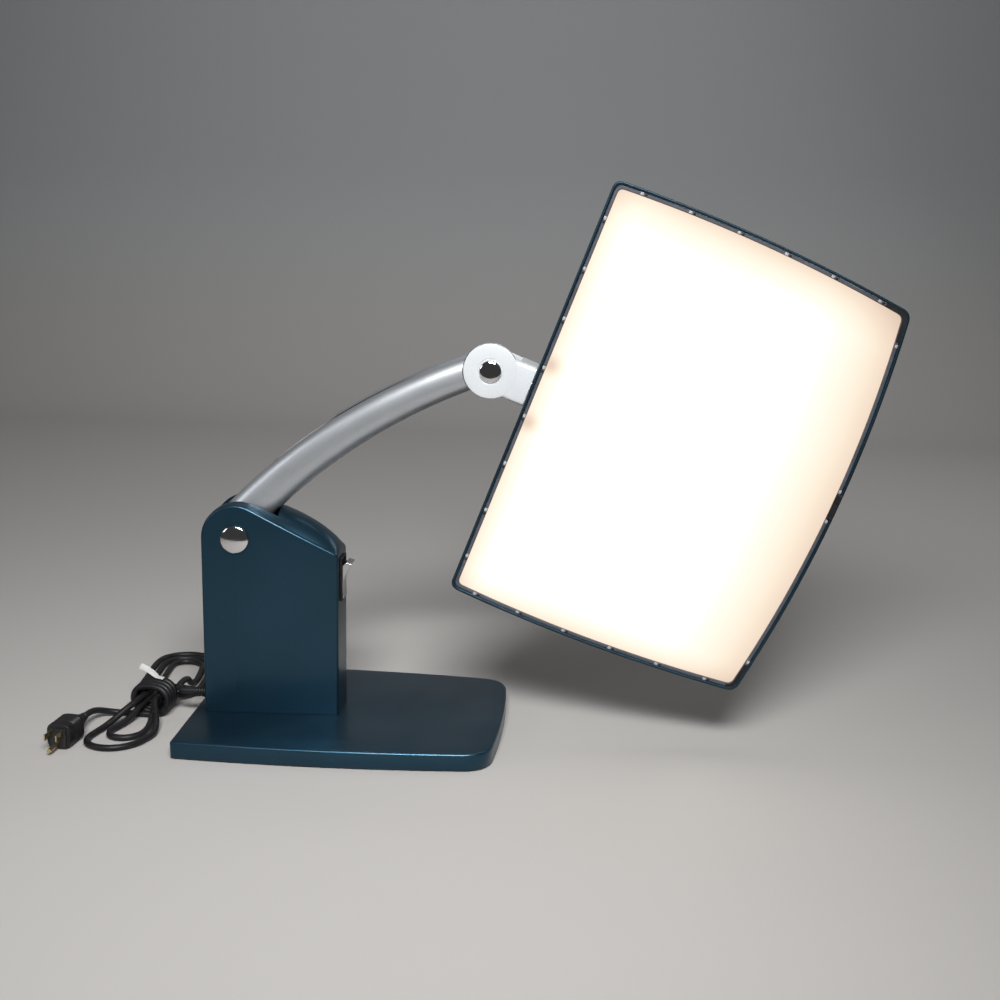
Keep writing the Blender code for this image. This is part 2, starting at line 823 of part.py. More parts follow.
def make_switch():
    back_x = column_front_x + gap
    front_x = back_x + bezel_thickness
    half, rise = switch_width / 2, switch_height / 2
    low, high = (back_x, -half, switch_centre_z - rise), (front_x, half, switch_centre_z + rise)
    housing = box("switch_housing", low, high, chrome)
    body_half, body_rise = half - bezel_lip, rise - bezel_lip
    low = (front_x - switch_depth, -body_half, switch_centre_z - body_rise)
    high = (back_x + bezel_thickness / 2, body_half, switch_centre_z + body_rise)
    join(housing, box("switch_body", low, high, chrome))
    well_half, well_rise = half - bezel_frame, rise - bezel_frame
    low = (front_x - rocker_well_depth, -well_half, switch_centre_z - well_rise)
    high = (front_x + overrun, well_half, switch_centre_z + well_rise)
    cut(housing, box("rocker_well", low, high, chrome))

    profile = []
    for step in range(-edge_steps, edge_steps + 1):
        share = abs(step) / edge_steps
        x = rocker_dish + (rocker_lip - rocker_dish) * share**rocker_dish_power
        profile.append((x, rocker_half_height * step / edge_steps))
    profile += [(rocker_lip * 0.3, rocker_half_height), (-rocker_root_depth, rocker_root_width)]
    profile += [(-rocker_root_depth, -rocker_root_width), (rocker_lip * 0.3, -rocker_half_height)]
    rocker_half = well_half - rocker_clearance
    rings = [[(x, y, z) for x, z in profile] for y in (-rocker_half, rocker_half)]
    loft("switch_rocker", rings, chrome, rocker_frame)


# Arm, drawn from the pivot

elbow = Vector((elbow_x - pivot_x, elbow_z - pivot_z))
pivot_reach = arm_radius - arm_root_rise
elbow_reach = arm_radius - arm_elbow_rise
chord = elbow.length
foot = (pivot_reach**2 - elbow_reach**2 + chord**2) / (2 * chord)
drop = sqrt(pivot_reach**2 - foot**2)
arm_centre = elbow * (foot / chord) + Vector((elbow.y, -elbow.x)) * (drop / chord)
arm_turn = (-arm_centre).angle(elbow - arm_centre)
drum_half_width = arm_root_width / 2


def arm_direction(share):
    """The outward direction of the arm's arc, from the pivot to the elbow."""
    out = (-arm_centre).normalized()
    turn = -arm_turn * share
    return Vector((out.x * cos(turn) - out.y * sin(turn), out.x * sin(turn) + out.y * cos(turn)))


def arm_ring(share, inset, only_depth=0, only_width=0):
    """The arm's section at a share of its arc: a superellipse, moved inwards by inset."""
    out = arm_direction(share)
    middle = arm_centre + out * arm_radius
    depth = only_depth / 2 or blend(arm_root_depth, arm_elbow_depth, share) / 2 - inset
    width = only_width / 2 or blend(arm_root_width, arm_elbow_width, share) / 2 - inset
    power = 2 / arm_section_power
    ring = []
    for i in range(section_points):
        turn = 2 * pi * (i + 0.5) / section_points
        c, s = cos(turn), sin(turn)
        rise = depth * abs(c) ** power * (1 if c > 0 else -1)
        y = width * abs(s) ** power * (1 if s > 0 else -1)
        point = middle + out * rise
        ring.append((point.x, y, point.y))
    return ring


def arm_loft(name, first, last, inset, look, depth=0, width=0, steps=arm_steps):
    shares = [blend(first, last, step / steps) for step in range(steps + 1)]
    return loft(name, [arm_ring(share, inset, depth, width) for share in shares], look, pivot_frame)


def make_arm():
    arc_length = arm_radius * arm_turn
    first = arm_start / arc_length
    elbow_place = (elbow.x, 0, elbow.y)
    half = arm_root_width

    def across(name, radius, place, frame=pivot_frame, half_width=half):
        x, _, z = place
        return rod(name, radius, (x, -half_width, z), (x, half_width, z), silver_paint, frame)

    for side_name, side in (("near", -1), ("far", 1)):
        name = "arm_shell_" + side_name
        shell = arm_loft(name, first, 1, 0, silver_paint)
        beyond = overrun / arc_length
        cut(shell, arm_loft(name + "_hollow", first - beyond, 1 + beyond, arm_wall, silver_paint))
        low_y, high_y = (-gap / 2, half) if side < 0 else (-half, gap / 2)
        low = (-half, low_y, -half)
        high = (elbow.x + half, high_y, elbow.y + arm_root_depth + half)
        cut(shell, box(name + "_parting", low, high, silver_paint, pivot_frame))
        cut(shell, across(name + "_root", drum_radius + drum_clearance, (0, 0, 0)))
        cheek_radius = fork_radius if side < 0 else fork_far_radius
        cut(shell, across(name + "_end", cheek_radius + fork_arm_clearance, elbow_place))

    core = across("arm_core", drum_radius, (0, 0, 0), half_width=drum_half_width)
    core.data.materials.clear()
    core.data.materials.append(dark_cast)
    join(core, arm_loft("core_bar", 0, 1, 0, dark_cast, core_depth, core_width, arm_steps // 2))
    join(core, across("core_knuckle", knuckle_radius, elbow_place, half_width=knuckle_width / 2))
    inset = arm_wall + gap
    for number in range(rib_count):
        share = (number + 1) / (rib_count + 1)
        reach = rib_length / 2 / arc_length
        join(core, arm_loft(f"core_rib_{number}", share - reach, share + reach, inset, dark_cast, steps=1))
    cut(core, across("core_axle_hole", axle_radius + gap, (0, 0, 0)))
    cut(core, across("core_elbow_hole", elbow_axle_radius + gap, elbow_place))


# Fork, neck and swivel, drawn from the elbow with X along the neck


def make_neck():
    half = fork_width / 2
    inner_y = knuckle_width / 2 + gap + elbow_washer_thickness + gap
    neck_end = head_left - swivel_clearance
    fork = rod("neck_fork", fork_radius, (0, -half, 0), (0, -inner_y + overrun, 0), pale_silver, elbow_frame)
    soften(fork, fork_edge)
    far_cheek = rod("fork_cheek", fork_far_radius, (0, inner_y - overrun, 0), (0, half, 0), pale_silver, elbow_frame)
    bar_end = neck_end + neck_edge + overrun
    low, high = (0, -half, -neck_depth / 2), (bar_end, half, neck_depth / 2)
    bar = box("neck_bar", low, high, pale_silver, elbow_frame, neck_edge)
    low, high = (neck_end, -half - overrun, -neck_depth), (bar_end + overrun, half + overrun, neck_depth)
    cut(bar, box("neck_trim", low, high, pale_silver, elbow_frame))
    join(fork, bar)
    join(fork, soften(far_cheek, fork_edge))
    reach = fork_radius + overrun
    channel_radius = knuckle_radius + fork_knuckle_clearance
    cut(fork, rod("fork_round", channel_radius, (0, -inner_y, 0), (0, inner_y, 0), pale_silver, elbow_frame))
    low, high = (-reach, -inner_y, -reach), (0, inner_y, reach)
    cut(fork, box("fork_channel", low, high, pale_silver, elbow_frame))
    ends = [(0, -half - overrun, 0), (0, half + overrun, 0)]
    cut(fork, rod("fork_hole", elbow_axle_radius + gap, *ends, pale_silver, elbow_frame))
    socket_x = neck_end - swivel_socket
    ends = [(socket_x - gap, 0, 0), (neck_end + overrun, 0, 0)]
    cut(fork, rod("swivel_socket", swivel_radius + gap, *ends, pale_silver, elbow_frame))
    ends = [(0, 0, 0), (neck_end, 0, 0)]
    cut(fork, rod("neck_bore", swivel_bore, *ends, pale_silver, elbow_frame, small_round_steps))

    shaft_end = head_left + swivel_reach
    washer("swivel_shaft", swivel_radius, swivel_bore, (socket_x, 0, 0), (shaft_end, 0, 0), steel, elbow_frame)
    nut_x = head_left + head_wall + gap + bracket_thickness + gap
    ends = [(nut_x, 0, 0), (nut_x + swivel_nut_height, 0, 0)]
    washer("swivel_nut", swivel_nut_radius, swivel_radius + gap, *ends, steel, elbow_frame, 6)

    rod("elbow_axle", elbow_axle_radius, (0, -half, 0), (0, half, 0), steel, elbow_frame)
    for side_name, side in (("near", -1), ("far", 1)):
        inner = side * (knuckle_width / 2 + gap)
        ends = [(0, inner, 0), (0, inner + side * elbow_washer_thickness, 0)]
        name = "elbow_washer_" + side_name
        washer(name, elbow_washer_radius, elbow_axle_radius + gap, *ends, black_plastic, elbow_frame)
        place = (0, side * (half + gap), 0)
        dome("elbow_cap_" + side_name, elbow_cap_radius, elbow_cap_rise, chrome, place, (0, side, 0), elbow_frame)


# Head

rim_y = -head_depth / 2
back_y = head_depth / 2
fillet_y = back_y - head_back_fillet
even_y = rim_y + head_even_depth


def side_inset(y):
    """How far the drafted sides have come in at y."""
    return head_draft * max(0, (y - even_y) / (fillet_y - even_y))


def head_ring(y, inset, left_inset=None):
    """The head's outline at y, moved inwards by inset."""
    right = head_left + head_straight
    corners = [
        Vector((head_left, -head_left_height / 2)),
        Vector((right, -head_right_height / 2)),
        Vector((right, head_right_height / 2)),
        Vector((head_left, head_left_height / 2)),
    ]
    left_inset = inset if left_inset is None else left_inset
    corners = moved_corners(corners, [inset, inset, inset, left_inset])
    bows = [head_side_bow, head_right_bow, head_side_bow, 0]
    radius = max(head_corner - min(inset, left_inset) * 0.6, head_corner / 4)
    return [(point.x, y, point.y) for point in bowed_outline(corners, bows, [radius] * len(corners))]


def head_rings(wall, front_y):
    """Rings of the back shell from the rim to the rounded back, moved inwards by the wall."""
    rings = [head_ring(front_y, wall), head_ring(even_y, wall)]
    fillet = head_back_fillet - wall
    for inset, rise in fillet_stations(fillet):
        left_inset = wall + inset
        rings.append(head_ring(fillet_y + rise, wall + head_draft + inset, left_inset))
    return rings


head_screw_x = head_left + head_screw_inset
head_screw_places = [(head_screw_x, -head_screw_spread / 2), (head_screw_x, head_screw_spread / 2)]
bracket_back_y = bracket_half_width
ear_front_y = bracket_back_y - bracket_thickness


def make_head_back():
    shell = loft("head_back_shell", head_rings(0, rim_y), blue_paint, elbow_frame)
    cut(shell, loft("head_hollow", head_rings(head_wall, rim_y - overrun), blue_paint, elbow_frame))
    inside_y = back_y - head_wall / 2
    bosses = [(x, z, bracket_back_y + gap, head_boss_radius) for x, z in head_screw_places]
    tray_back_y = tray_floor_y + tray_thickness + gap
    for x in (head_left + tray_left + tray_boss_inset, head_left + head_straight - tray_boss_inset):
        for z in (-head_right_height / 2 + 2 * tray_boss_inset, head_right_height / 2 - 2 * tray_boss_inset):
            bosses.append((x, z, tray_back_y, tray_boss_radius))
    for number, (x, z, y, radius) in enumerate(bosses):
        ends = [(x, y, z), (x, inside_y, z)]
        join(shell, rod(f"head_boss_{number}", radius, *ends, blue_paint, elbow_frame, small_round_steps))
    ends = [(head_left - overrun, 0, 0), (head_left + overrun, 0, 0)]
    cut(shell, rod("head_swivel_hole", swivel_radius + swivel_clearance, *ends, blue_paint, elbow_frame))
    for number, (x, z) in enumerate(head_screw_places):
        ends = [(x, 0, z), (x, ear_front_y + head_screw_reach + gap, z)]
        hole = rod(f"head_pilot_{number}", screw_radius + gap, *ends, blue_paint, elbow_frame, small_round_steps)
        cut(shell, hole)


def make_bracket():
    low_x = head_left + head_wall + gap
    half = bracket_length / 2
    high = (low_x + bracket_thickness, bracket_back_y, half)
    bracket = box("head_bracket", (low_x, -bracket_half_width, -half), high, steel, elbow_frame)
    low = (low_x + bracket_thickness / 2, ear_front_y, -half)
    join(bracket, box("bracket_ear", low, (low_x + bracket_ear, bracket_back_y, half), steel, elbow_frame))
    ends = [(head_left, 0, 0), (low_x + bracket_thickness + overrun, 0, 0)]
    cut(bracket, rod("bracket_hole", swivel_radius + swivel_clearance, *ends, steel, elbow_frame))
    for number, (x, z) in enumerate(head_screw_places):
        ends = [(x, ear_front_y - overrun, z), (x, bracket_back_y + overrun, z)]
        name = f"bracket_screw_hole_{number}"
        cut(bracket, rod(name, screw_radius + gap, *ends, steel, elbow_frame, small_round_steps))
        place = (x, ear_front_y - gap, z)
        screw(f"head_screw_{number + 1}", place, (0, 1, 0), head_screw_reach, elbow_frame)


tray_inset = head_wall + side_inset(tray_front_y) + tray_clearance


def make_reflector():
    high_inset = tray_inset + tray_run
    rings = [
        head_ring(tray_front_y, tray_inset, tray_left),
        head_ring(tray_floor_y + tray_thickness, high_inset, tray_left + tray_run),
    ]
    tray = loft("reflector", rings, reflector_white, elbow_frame)
    thick = tray_thickness
    rings = [
        head_ring(tray_front_y - overrun, tray_inset + thick, tray_left + thick),
        head_ring(tray_floor_y, high_inset + thick, tray_left + tray_run + thick),
    ]
    cut(tray, loft("reflector_hollow", rings, reflector_white, elbow_frame))


socket_half = lamp_base_width / 2 + socket_clearance + socket_wall
tray_floor_run = tray_run + tray_thickness
lamp_first = tray_left + tray_floor_run + lamp_left_space + socket_half
lamp_last = head_straight - tray_inset - tray_floor_run - lamp_right_space - socket_half
lamp_pitch = (lamp_last - lamp_first) / (lamp_count - 1)
lamp_places = [head_left + lamp_first + lamp_pitch * number for number in range(lamp_count)]
lamp_bottom_z = lamp_shift - lamp_length / 2


def make_lamps():
    base_top = lamp_bottom_z + lamp_base_length
    half_width, half_depth = lamp_base_width / 2, lamp_base_depth / 2
    bend = lamp_tube_spacing / 2
    bend_z = lamp_bottom_z + lamp_length - lamp_tube_radius - bend
    for number, x in enumerate(lamp_places):
        low = (x - half_width, lamp_y - half_depth, lamp_bottom_z)
        high = (x + half_width, lamp_y + half_depth, base_top)
        box(f"lamp_base_{number + 1}", low, high, white_plastic, elbow_frame, lamp_base_edge)
        route = [(x + bend, lamp_y, base_top + gap)]
        for step in range(lamp_bend_steps + 1):
            turn = pi * step / lamp_bend_steps
            route.append((x + bend * cos(turn), lamp_y, bend_z + bend * sin(turn)))
        route.append((x - bend, lamp_y, base_top + gap))
        tube(f"lamp_tube_{number + 1}", route, lamp_tube_radius, lamp_glass, 4, elbow_frame)
        make_socket(f"lamp_socket_{number + 1}", x)


def make_socket(name, x):
    half_width = lamp_base_width / 2 + socket_clearance
    half_depth = lamp_base_depth / 2 + socket_clearance
    wall = socket_wall
    floor_z = lamp_bottom_z - gap
    low = (x - half_width - wall, lamp_y - half_depth - wall, floor_z - socket_floor)
    high = (x + half_width + wall, tray_floor_y - gap, floor_z - socket_floor + socket_length)
    socket = box(name, low, high, white_plastic, elbow_frame)
    low = (x - half_width, lamp_y - half_depth, floor_z)
    high = (x + half_width, lamp_y + half_depth, floor_z + socket_length)
    cut(socket, box(name + "_pocket", low, high, white_plastic, elbow_frame))


def make_clip_bar():
    z = lamp_length * clip_place_share
    back = tray_floor_y - gap
    reach = lamp_tube_spacing / 2 + lamp_tube_radius + gap
    low_x, high_x = lamp_places[0] - reach - clip_arm, lamp_places[-1] + reach + clip_arm
    half = clip_length / 2
    low, high = (low_x, back - clip_strip, z - half), (high_x, back, z + half)
    bar = box("lamp_clip_bar", low, high, steel, elbow_frame)
    for number, x in enumerate(lamp_places):
        for side in (-1, 1):
            near, far = sorted((x + side * reach, x + side * (reach + clip_arm)))
            low = (near, back - clip_reach, z - half)
            high = (far, back - clip_strip / 2, z + half)
            join(bar, box(f"clip_{number}_{side}", low, high, steel, elbow_frame))


def make_front():
    ring_front = rim_y + frame_recess
    sheet_front = rim_y + diffuser_recess
    ledge_front = sheet_front + diffuser_thickness + gap
    ring_back = ledge_front + frame_ledge_depth
    outer = head_wall + gap
    inner = outer + frame_width
    window = inner + frame_ledge
    loops = [head_ring(ring_front, outer), head_ring(ring_back, outer), head_ring(ring_back, window)]
    loops += [head_ring(ledge_front, window), head_ring(ledge_front, inner), head_ring(ring_front, inner)]
    hoop("diffuser_frame", loops, frame_grey, elbow_frame)
    inset = inner + gap
    rings = [head_ring(sheet_front, inset), head_ring(sheet_front + diffuser_thickness, inset)]
    loft("diffuser", rings, opal, elbow_frame)
    right = head_left + head_straight + head_right_bow - outer
    back = ring_front - gap
    low = (right - latch_width, back - latch_rise, latch_shift - latch_length / 2)
    high = (right, back, latch_shift + latch_length / 2)
    box("frame_latch", low, high, black_plastic, elbow_frame, latch_rise / 3)


def tube(name, route, radius, look, resolution, frame=None):
    """A round tube along a route of points, closed at both ends."""
    curve = bpy.data.curves.new(name, "CURVE")
    curve.dimensions = "3D"
    curve.bevel_depth = radius
    curve.bevel_resolution = resolution
    curve.use_fill_caps = True
    spline = curve.splines.new("POLY")
    spline.points.add(len(route) - 1)
    for point, place in zip(spline.points, route):
        point.co = (*place, 1)
    obj = bpy.data.objects.new(name, curve)
    obj.data.materials.append(look)
    obj.parent = frame
    lamp.objects.link(obj)
    return obj


# Mains cord


def make_strain_relief():
    rear_x = pivot_x - column_top_radius
    profile = [
        (0, relief_length),
        (relief_tip_radius, relief_length),
        (relief_root_radius, relief_root_length + gap),
        (relief_root_radius, gap),
        (relief_neck_radius, gap),
        (relief_neck_radius, -column_wall - gap),
        (relief_flange_radius, -column_wall - gap),
        (relief_flange_radius, -column_wall - gap - relief_flange),
        (0, -column_wall - gap - relief_flange),
    ]
    place = (rear_x, 0, cord_exit_z)
    turned("strain_relief", profile, black_rubber, place, (-1, 0, 0), None, small_round_steps)


def on_desk(along, across, z):
    """A point of the hank, from its place along and across its length, in the world's axes."""
    beyond = max(along - waist_half, 0) + min(along + waist_half, 0)
    bend = hank_far_bend if along > 0 else hank_front_bend
    turn = beyond / (2 * bend)
    inner = along - beyond
    along = inner + cos(turn) * beyond - sin(turn) * across
    across = abs(sin(turn) * beyond) + cos(turn) * across
    x = hank_x + cos(hank_turn) * along - sin(hank_turn) * across
    y = hank_y + sin(hank_turn) * along + cos(hank_turn) * across
    return (x, y, z)


def half_lobe(way, reach, width, side, z):
    """One half of a loop, from the waist to the middle of its turn. It widens as it comes down to
    the desk."""
    rest = cord_diameter / 2 + cord_lift
    points = []
    for run, across, drop in zip(drop_run_shares, drop_width_shares, drop_height_shares):
        along = way * (waist_half + lobe_drop_run * run)
        height = max(rest, blend(z, z - waist_high_z + rest, drop))
        points.append(on_desk(along, blend(side, width, across), height))
    return points + half_turn(way, reach, width)


def half_turn(way, reach, width):
    """One half of a loop's turn, flat on the desk, from its widest place to its middle."""
    radius = abs(width)
    rest = cord_diameter / 2 + cord_lift
    straight = (waist_half + lobe_drop_run + reach - radius) / 2
    points = [on_desk(way * straight, width, rest)]
    for i in range(turn_points):
        angle = (i + 1 / 2) * pi / (2 * turn_points)
        along = way * (reach - radius + radius * sin(angle))
        points.append(on_desk(along, width * cos(angle), rest))
    return points


def lobe(way, reach, width, start, end):
    """A whole loop, from its start at one side of the waist to its end at the other. Each is a pair
    of side and height."""
    turn = 1 if start[0] > 0 else -1
    there = half_lobe(way, reach, turn * width, *start)
    back = half_lobe(way, reach, -turn * width, *end)
    return there + back[::-1]


def waist_run(way, side, z):
    """A run through the waist."""
    return [on_desk(way * waist_half * share, side, z) for share in (-1, 0, 1)]


def wraps():
    """The last turns of the cord, wound round the waist from far to near."""
    centre = (waist_low_z + waist_high_z) / 2
    points = []
    for i in range(int(wrap_turns * wrap_points) + 1):
        turn = 2 * pi * i / wrap_points
        along = wrap_pitch * (wrap_turns / 2 - i / wrap_points)
        across = wrap_half_width * abs(cos(turn)) ** wrap_power
        across = across if cos(turn) > 0 else -across
        points.append(on_desk(along, across, centre + wrap_half_height * sin(turn)))
    return points


def hank_points():
    """The control points of the hank, from the end of the lead to the start of the tail."""
    left, right = waist_side, -waist_side
    low, high = waist_low_z, waist_high_z
    points = half_turn(1, far_reaches[0], -far_widths[0])[1:]
    points += half_lobe(1, far_reaches[0], far_widths[0], left, low)[::-1]
    points += waist_run(-1, left, low)
    points += lobe(-1, front_reaches[0], front_widths[0], (left, low), (right, low))
    points += waist_run(1, right, low)
    points += lobe(1, far_reaches[1], far_widths[1], (right, low), (left, high))
    points += waist_run(-1, left, high)
    points += lobe(-1, front_reaches[1], front_widths[1], (left, high), (right, high))
    points += waist_run(1, right, high)
    points += lobe(1, far_reaches[2], far_widths[2], (right, high), (wrap_start_side, wrap_start_z))
    return points + wraps()


def smooth(points, steps):
    """Points on the smooth curve that the control points draw."""
    route = []
    for before, first, second, after in zip(points, points[1:], points[2:], points[3:]):
        for i in range(steps):
            u = i / steps
            weights = ((1 - u) ** 3, 3 * u**3 - 6 * u**2 + 4, 3 * (u + u**2 - u**3) + 1, u**3)
            near = zip(before, first, second, after)
            route.append(tuple(sum(w * x for w, x in zip(weights, axis)) / 6 for axis in near))
    return route


def tube_route(start, heading, points, end, arrival):
    """A smooth route whose ends run straight for one diameter."""
    start, heading, end, arrival = Vector(start), Vector(heading), Vector(end), Vector(arrival)
    run = cord_diameter
    controls = [start, start + run * heading, start + 2 * run * heading, *points]
    controls += [end - 2 * run * arrival, end - run * arrival, end]
    ends = [tuple(end - run * arrival), tuple(end)]
    return controls, [tuple(start)] + smooth(controls, cord_steps) + ends


def least_gap(points):
    """The least gap of a tube to itself, apart from the stretch that each of its points is on."""
    tree = KDTree(len(points))
    run = [0]
    for i, point in enumerate(points):
        tree.insert(point, i)
        if i:
            run.append(run[-1] + (Vector(point) - Vector(points[i - 1])).length)
    tree.balance()
    least = cord_diameter
    for i, point in enumerate(points):
        for _, j, distance in tree.find_range(point, 2 * cord_diameter):
            if run[j] - run[i] > pi * cord_diameter:
                least = min(least, distance - cord_diameter)
    return least


def make_cord():
    rear_x = pivot_x - column_top_radius
    rest = cord_diameter / 2 + cord_lift
    entry = Vector(on_desk(hank_entry, -far_widths[0], rest))
    entry_way = Vector(on_desk(hank_entry + cord_diameter, -far_widths[0], rest)) - entry
    entry_way.normalize()
    exit_along = -wrap_pitch * wrap_turns / 2 - wrap_exit_slack
    leave = Vector(on_desk(exit_along, wrap_exit_side, rest))
    leave_way = Vector(on_desk(exit_along, wrap_exit_side + cord_diameter, rest)) - leave
    leave_way.normalize()
    plug_way = Vector((-sin(plug_turn), -cos(plug_turn), 0))
    plug_end = Vector((plug_x, plug_y, plug_half_height + gap)) - plug_way * gap
    half_gap = gap / 2

    tip = (rear_x - relief_length - gap, 0, cord_exit_z)
    _, lead = tube_route(tip, (-1, 0, 0), lead_points, entry - half_gap * entry_way, entry_way)
    tube("cord_lead", lead, cord_diameter / 2, black_rubber, 2)
    ends = [entry + half_gap * entry_way, leave - half_gap * leave_way]
    controls, hank = tube_route(ends[0], entry_way, hank_points(), ends[1], leave_way)
    tube("cord_hank", hank, cord_diameter / 2, black_rubber, 1)
    start = leave + half_gap * leave_way
    _, tail = tube_route(start, leave_way, tail_points, plug_end, plug_way)
    tube("cord_tail", tail, cord_diameter / 2, black_rubber, 2)
    route = lead + hank + tail
    length = sum((Vector(b) - Vector(a)).length for a, b in zip(route, route[1:]))
    print(f"cord length {length:.3f} m, least gap of the hank {1000 * least_gap(smooth(controls, gap_steps)):.2f} mm")
    print(f"least gap of the whole cord {1000 * least_gap(smooth(route, cord_steps)):.2f} mm")


def make_tie():
    """A flat strip over the waist from its right side, whose free end stands out to the left."""
    centre = (waist_low_z + waist_high_z) / 2
    reach = cord_diameter / 2 + tie_lift
    path = []
    for step in range(tie_steps + 1):
        turn = blend(tie_first_turn, tie_last_turn, step / tie_steps)
        across = (wrap_half_width + reach) * cos(turn)
        rise = (wrap_half_height + reach) * sin(turn)
        outward = Vector((0, cos(turn), sin(turn)))
        path.append((Vector((tie_slant, across, centre + rise)), outward))
    last = path[-1][0]
    for share in (1 / 2, 1):
        place = last + share * Vector((tie_end_along, tie_end_across, tie_end_rise))
        lean = tie_end_lean * share
        path.append((place, Vector((-sin(lean), 0, cos(lean)))))
    rings = []
    for number, (place, outward) in enumerate(path):
        before, after = path[max(number - 1, 0)][0], path[min(number + 1, len(path) - 1)][0]
        side = (after - before).normalized().cross(outward).normalized() * tie_width / 2
        lift = outward * tie_thickness / 2
        corners = [place - side - lift, place + side - lift, place + side + lift, place - side + lift]
        rings.append([on_desk(*corner) for corner in corners])
    loft("twist_tie", rings, tie_white, flat=False)


# Plug, drawn from its cord end with X along the way that the cord enters


def plug_ring(along, half_width, half_height, power):
    ring = []
    for step in range(plug_sides):
        turn = 2 * pi * step / plug_sides
        y, z = (copysign(abs(part) ** (2 / power), part) for part in (cos(turn), sin(turn)))
        ring.append((along, half_width * y, half_height * z))
    return ring


def make_plug():
    end = boot_length + plug_length
    width, height, edge = plug_half_width, plug_half_height, plug_edge
    rings = [plug_ring(0, boot_tip_radius, boot_tip_radius, 2)]
    rings.append(plug_ring(boot_length, boot_root_radius, boot_root_radius, 2))
    rings.append(plug_ring(boot_length + edge / 3, width - edge, height - edge, plug_power))
    rings.append(plug_ring(boot_length + edge, width, height, plug_power))
    rings.append(plug_ring(end - edge / 3, width, height, plug_power))
    rings.append(plug_ring(end, width - edge / 3, height - edge / 3, plug_power))
    loft("plug_body", rings, black_rubber, plug_frame, flat=False)

    face = end + gap
    blades_z = (ground_offset - ground_radius) / 2
    half_plate = blade_spacing / 2 + blade_plate_margin
    low = (face, -half_plate, blades_z - ground_offset - ground_radius - blade_plate_margin)
    high = (face + blade_plate, half_plate, blades_z + blade_width / 2 + blade_plate_margin / 2)
    plate = box("plug_blades", low, high, brass, plug_frame)
    for number, side in enumerate((-1, 1)):
        y = side * blade_spacing / 2
        low = (face + blade_plate / 2, y - blade_thickness / 2, blades_z - blade_width / 2)
        high = (face + blade_length, y + blade_thickness / 2, blades_z + blade_width / 2)
        join(plate, box(f"plug_blade_{number}", low, high, brass, plug_frame))
    ends = [(face + blade_plate / 2, 0, blades_z - ground_offset), (face + ground_length, 0, blades_z - ground_offset)]
    join(plate, rod("plug_ground", ground_radius, *ends, brass, plug_frame, small_round_steps))


make_base()
make_column()
make_column_inside()
make_switch()
make_arm()
make_neck()
make_head_back()
make_bracket()
make_reflector()
make_lamps()
make_clip_bar()
make_front()
make_strain_relief()
make_cord()
make_tie()
make_plug()
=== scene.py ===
"""Looks of the light therapy lamp: finishes, mains cord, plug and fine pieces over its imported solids.

Metres, +Z up. The column stands at -X, the panel reaches out to +X and its lit face looks to -Y.
The head is drawn in its own frame: u along the neck from the elbow's axis, w up the panel.
"""

import json
from math import copysign, cos, pi, radians, sin, sqrt

import bmesh
import bpy
from mathutils import Matrix, Vector


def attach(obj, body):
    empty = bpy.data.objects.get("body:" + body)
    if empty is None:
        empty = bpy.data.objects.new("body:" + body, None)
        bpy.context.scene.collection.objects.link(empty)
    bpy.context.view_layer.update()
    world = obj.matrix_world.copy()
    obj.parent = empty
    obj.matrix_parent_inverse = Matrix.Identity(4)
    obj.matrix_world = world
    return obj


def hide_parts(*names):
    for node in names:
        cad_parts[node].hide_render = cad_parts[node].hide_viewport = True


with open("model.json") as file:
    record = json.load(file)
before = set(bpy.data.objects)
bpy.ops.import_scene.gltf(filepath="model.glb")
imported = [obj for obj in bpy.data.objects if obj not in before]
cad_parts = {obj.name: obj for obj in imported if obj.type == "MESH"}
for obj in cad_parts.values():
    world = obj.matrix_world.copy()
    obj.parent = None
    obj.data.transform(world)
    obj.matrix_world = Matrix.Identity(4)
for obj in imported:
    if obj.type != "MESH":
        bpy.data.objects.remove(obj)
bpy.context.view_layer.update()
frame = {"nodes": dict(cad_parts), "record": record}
nodes = frame["nodes"]

# Camera
camera_place = Vector((0.27375, -1.46885, 0.59424))
camera_right = Vector((0.996356, 0.083095, 0.019228))
camera_up = Vector((-0.037234, 0.220947, 0.974575))
camera_lens = 52.205

# Places that the solids set
gap = 0.0003
pivot = Vector((-0.1162, 0, 0.2116))
elbow = Vector((0.1471, 0, 0.3939))
neck_droop = radians(20.65)
column_rear_x = -0.1525
head_left = 0.0436
head_straight = 0.314
head_left_height = 0.4440
head_right_height = 0.4216
head_side_bow = 0.0070
head_right_bow = 0.016
head_corner = 0.0095
head_wall = 0.003
rim_y = -0.035
head_depth = 0.070
head_draft = 0.002
head_even_depth = 0.012
head_back_fillet = 0.014
diffuser_recess = 0.0016
diffuser_thickness = 0.0025
frame_recess = 0.0004
frame_width = 0.0031
frame_ledge = 0.0035
frame_ledge_depth = 0.003
latch_shift = 0.007
latch_length = 0.027
base_length = 0.3314
base_rear_width = 0.237
base_front_width = 0.222
base_side_bow = 0.0072
base_front_bow = 0.006
base_rear_corner = 0.004
base_front_corner = 0.027
base_top_z = 0.0195
base_rim_z = 0.0015
base_wall = 0.003
base_edge_fillet = 0.003
base_boss_inset = 0.018
base_screw_z = 0.0022
column_half_width = 0.033
column_front_x = -0.0092
column_top_radius = 0.0363
column_front_taper = 0.0085
column_slope = radians(27.5)
column_fillet = 0.0025
column_front_corner = 0.007
column_crown = 0.0145
crown_lead = 0.12
crown_skew = 0.70
column_wall = 0.003
column_seam = 0.00005
column_cap_radius = 0.0151
column_cap_rise = 0.0042
slot_front_x = -0.0725
slot_rear_drop = 0.0075
slot_half_width = 0.0216
switch_centre_z = 0.1666
switch_half_width = 0.0111
switch_half_height = 0.0219
column_boss_y = 0.0282
column_boss_z = 0.118
column_screw_seat = 0.010
drum_radius = 0.031
drum_clearance = 0.0006
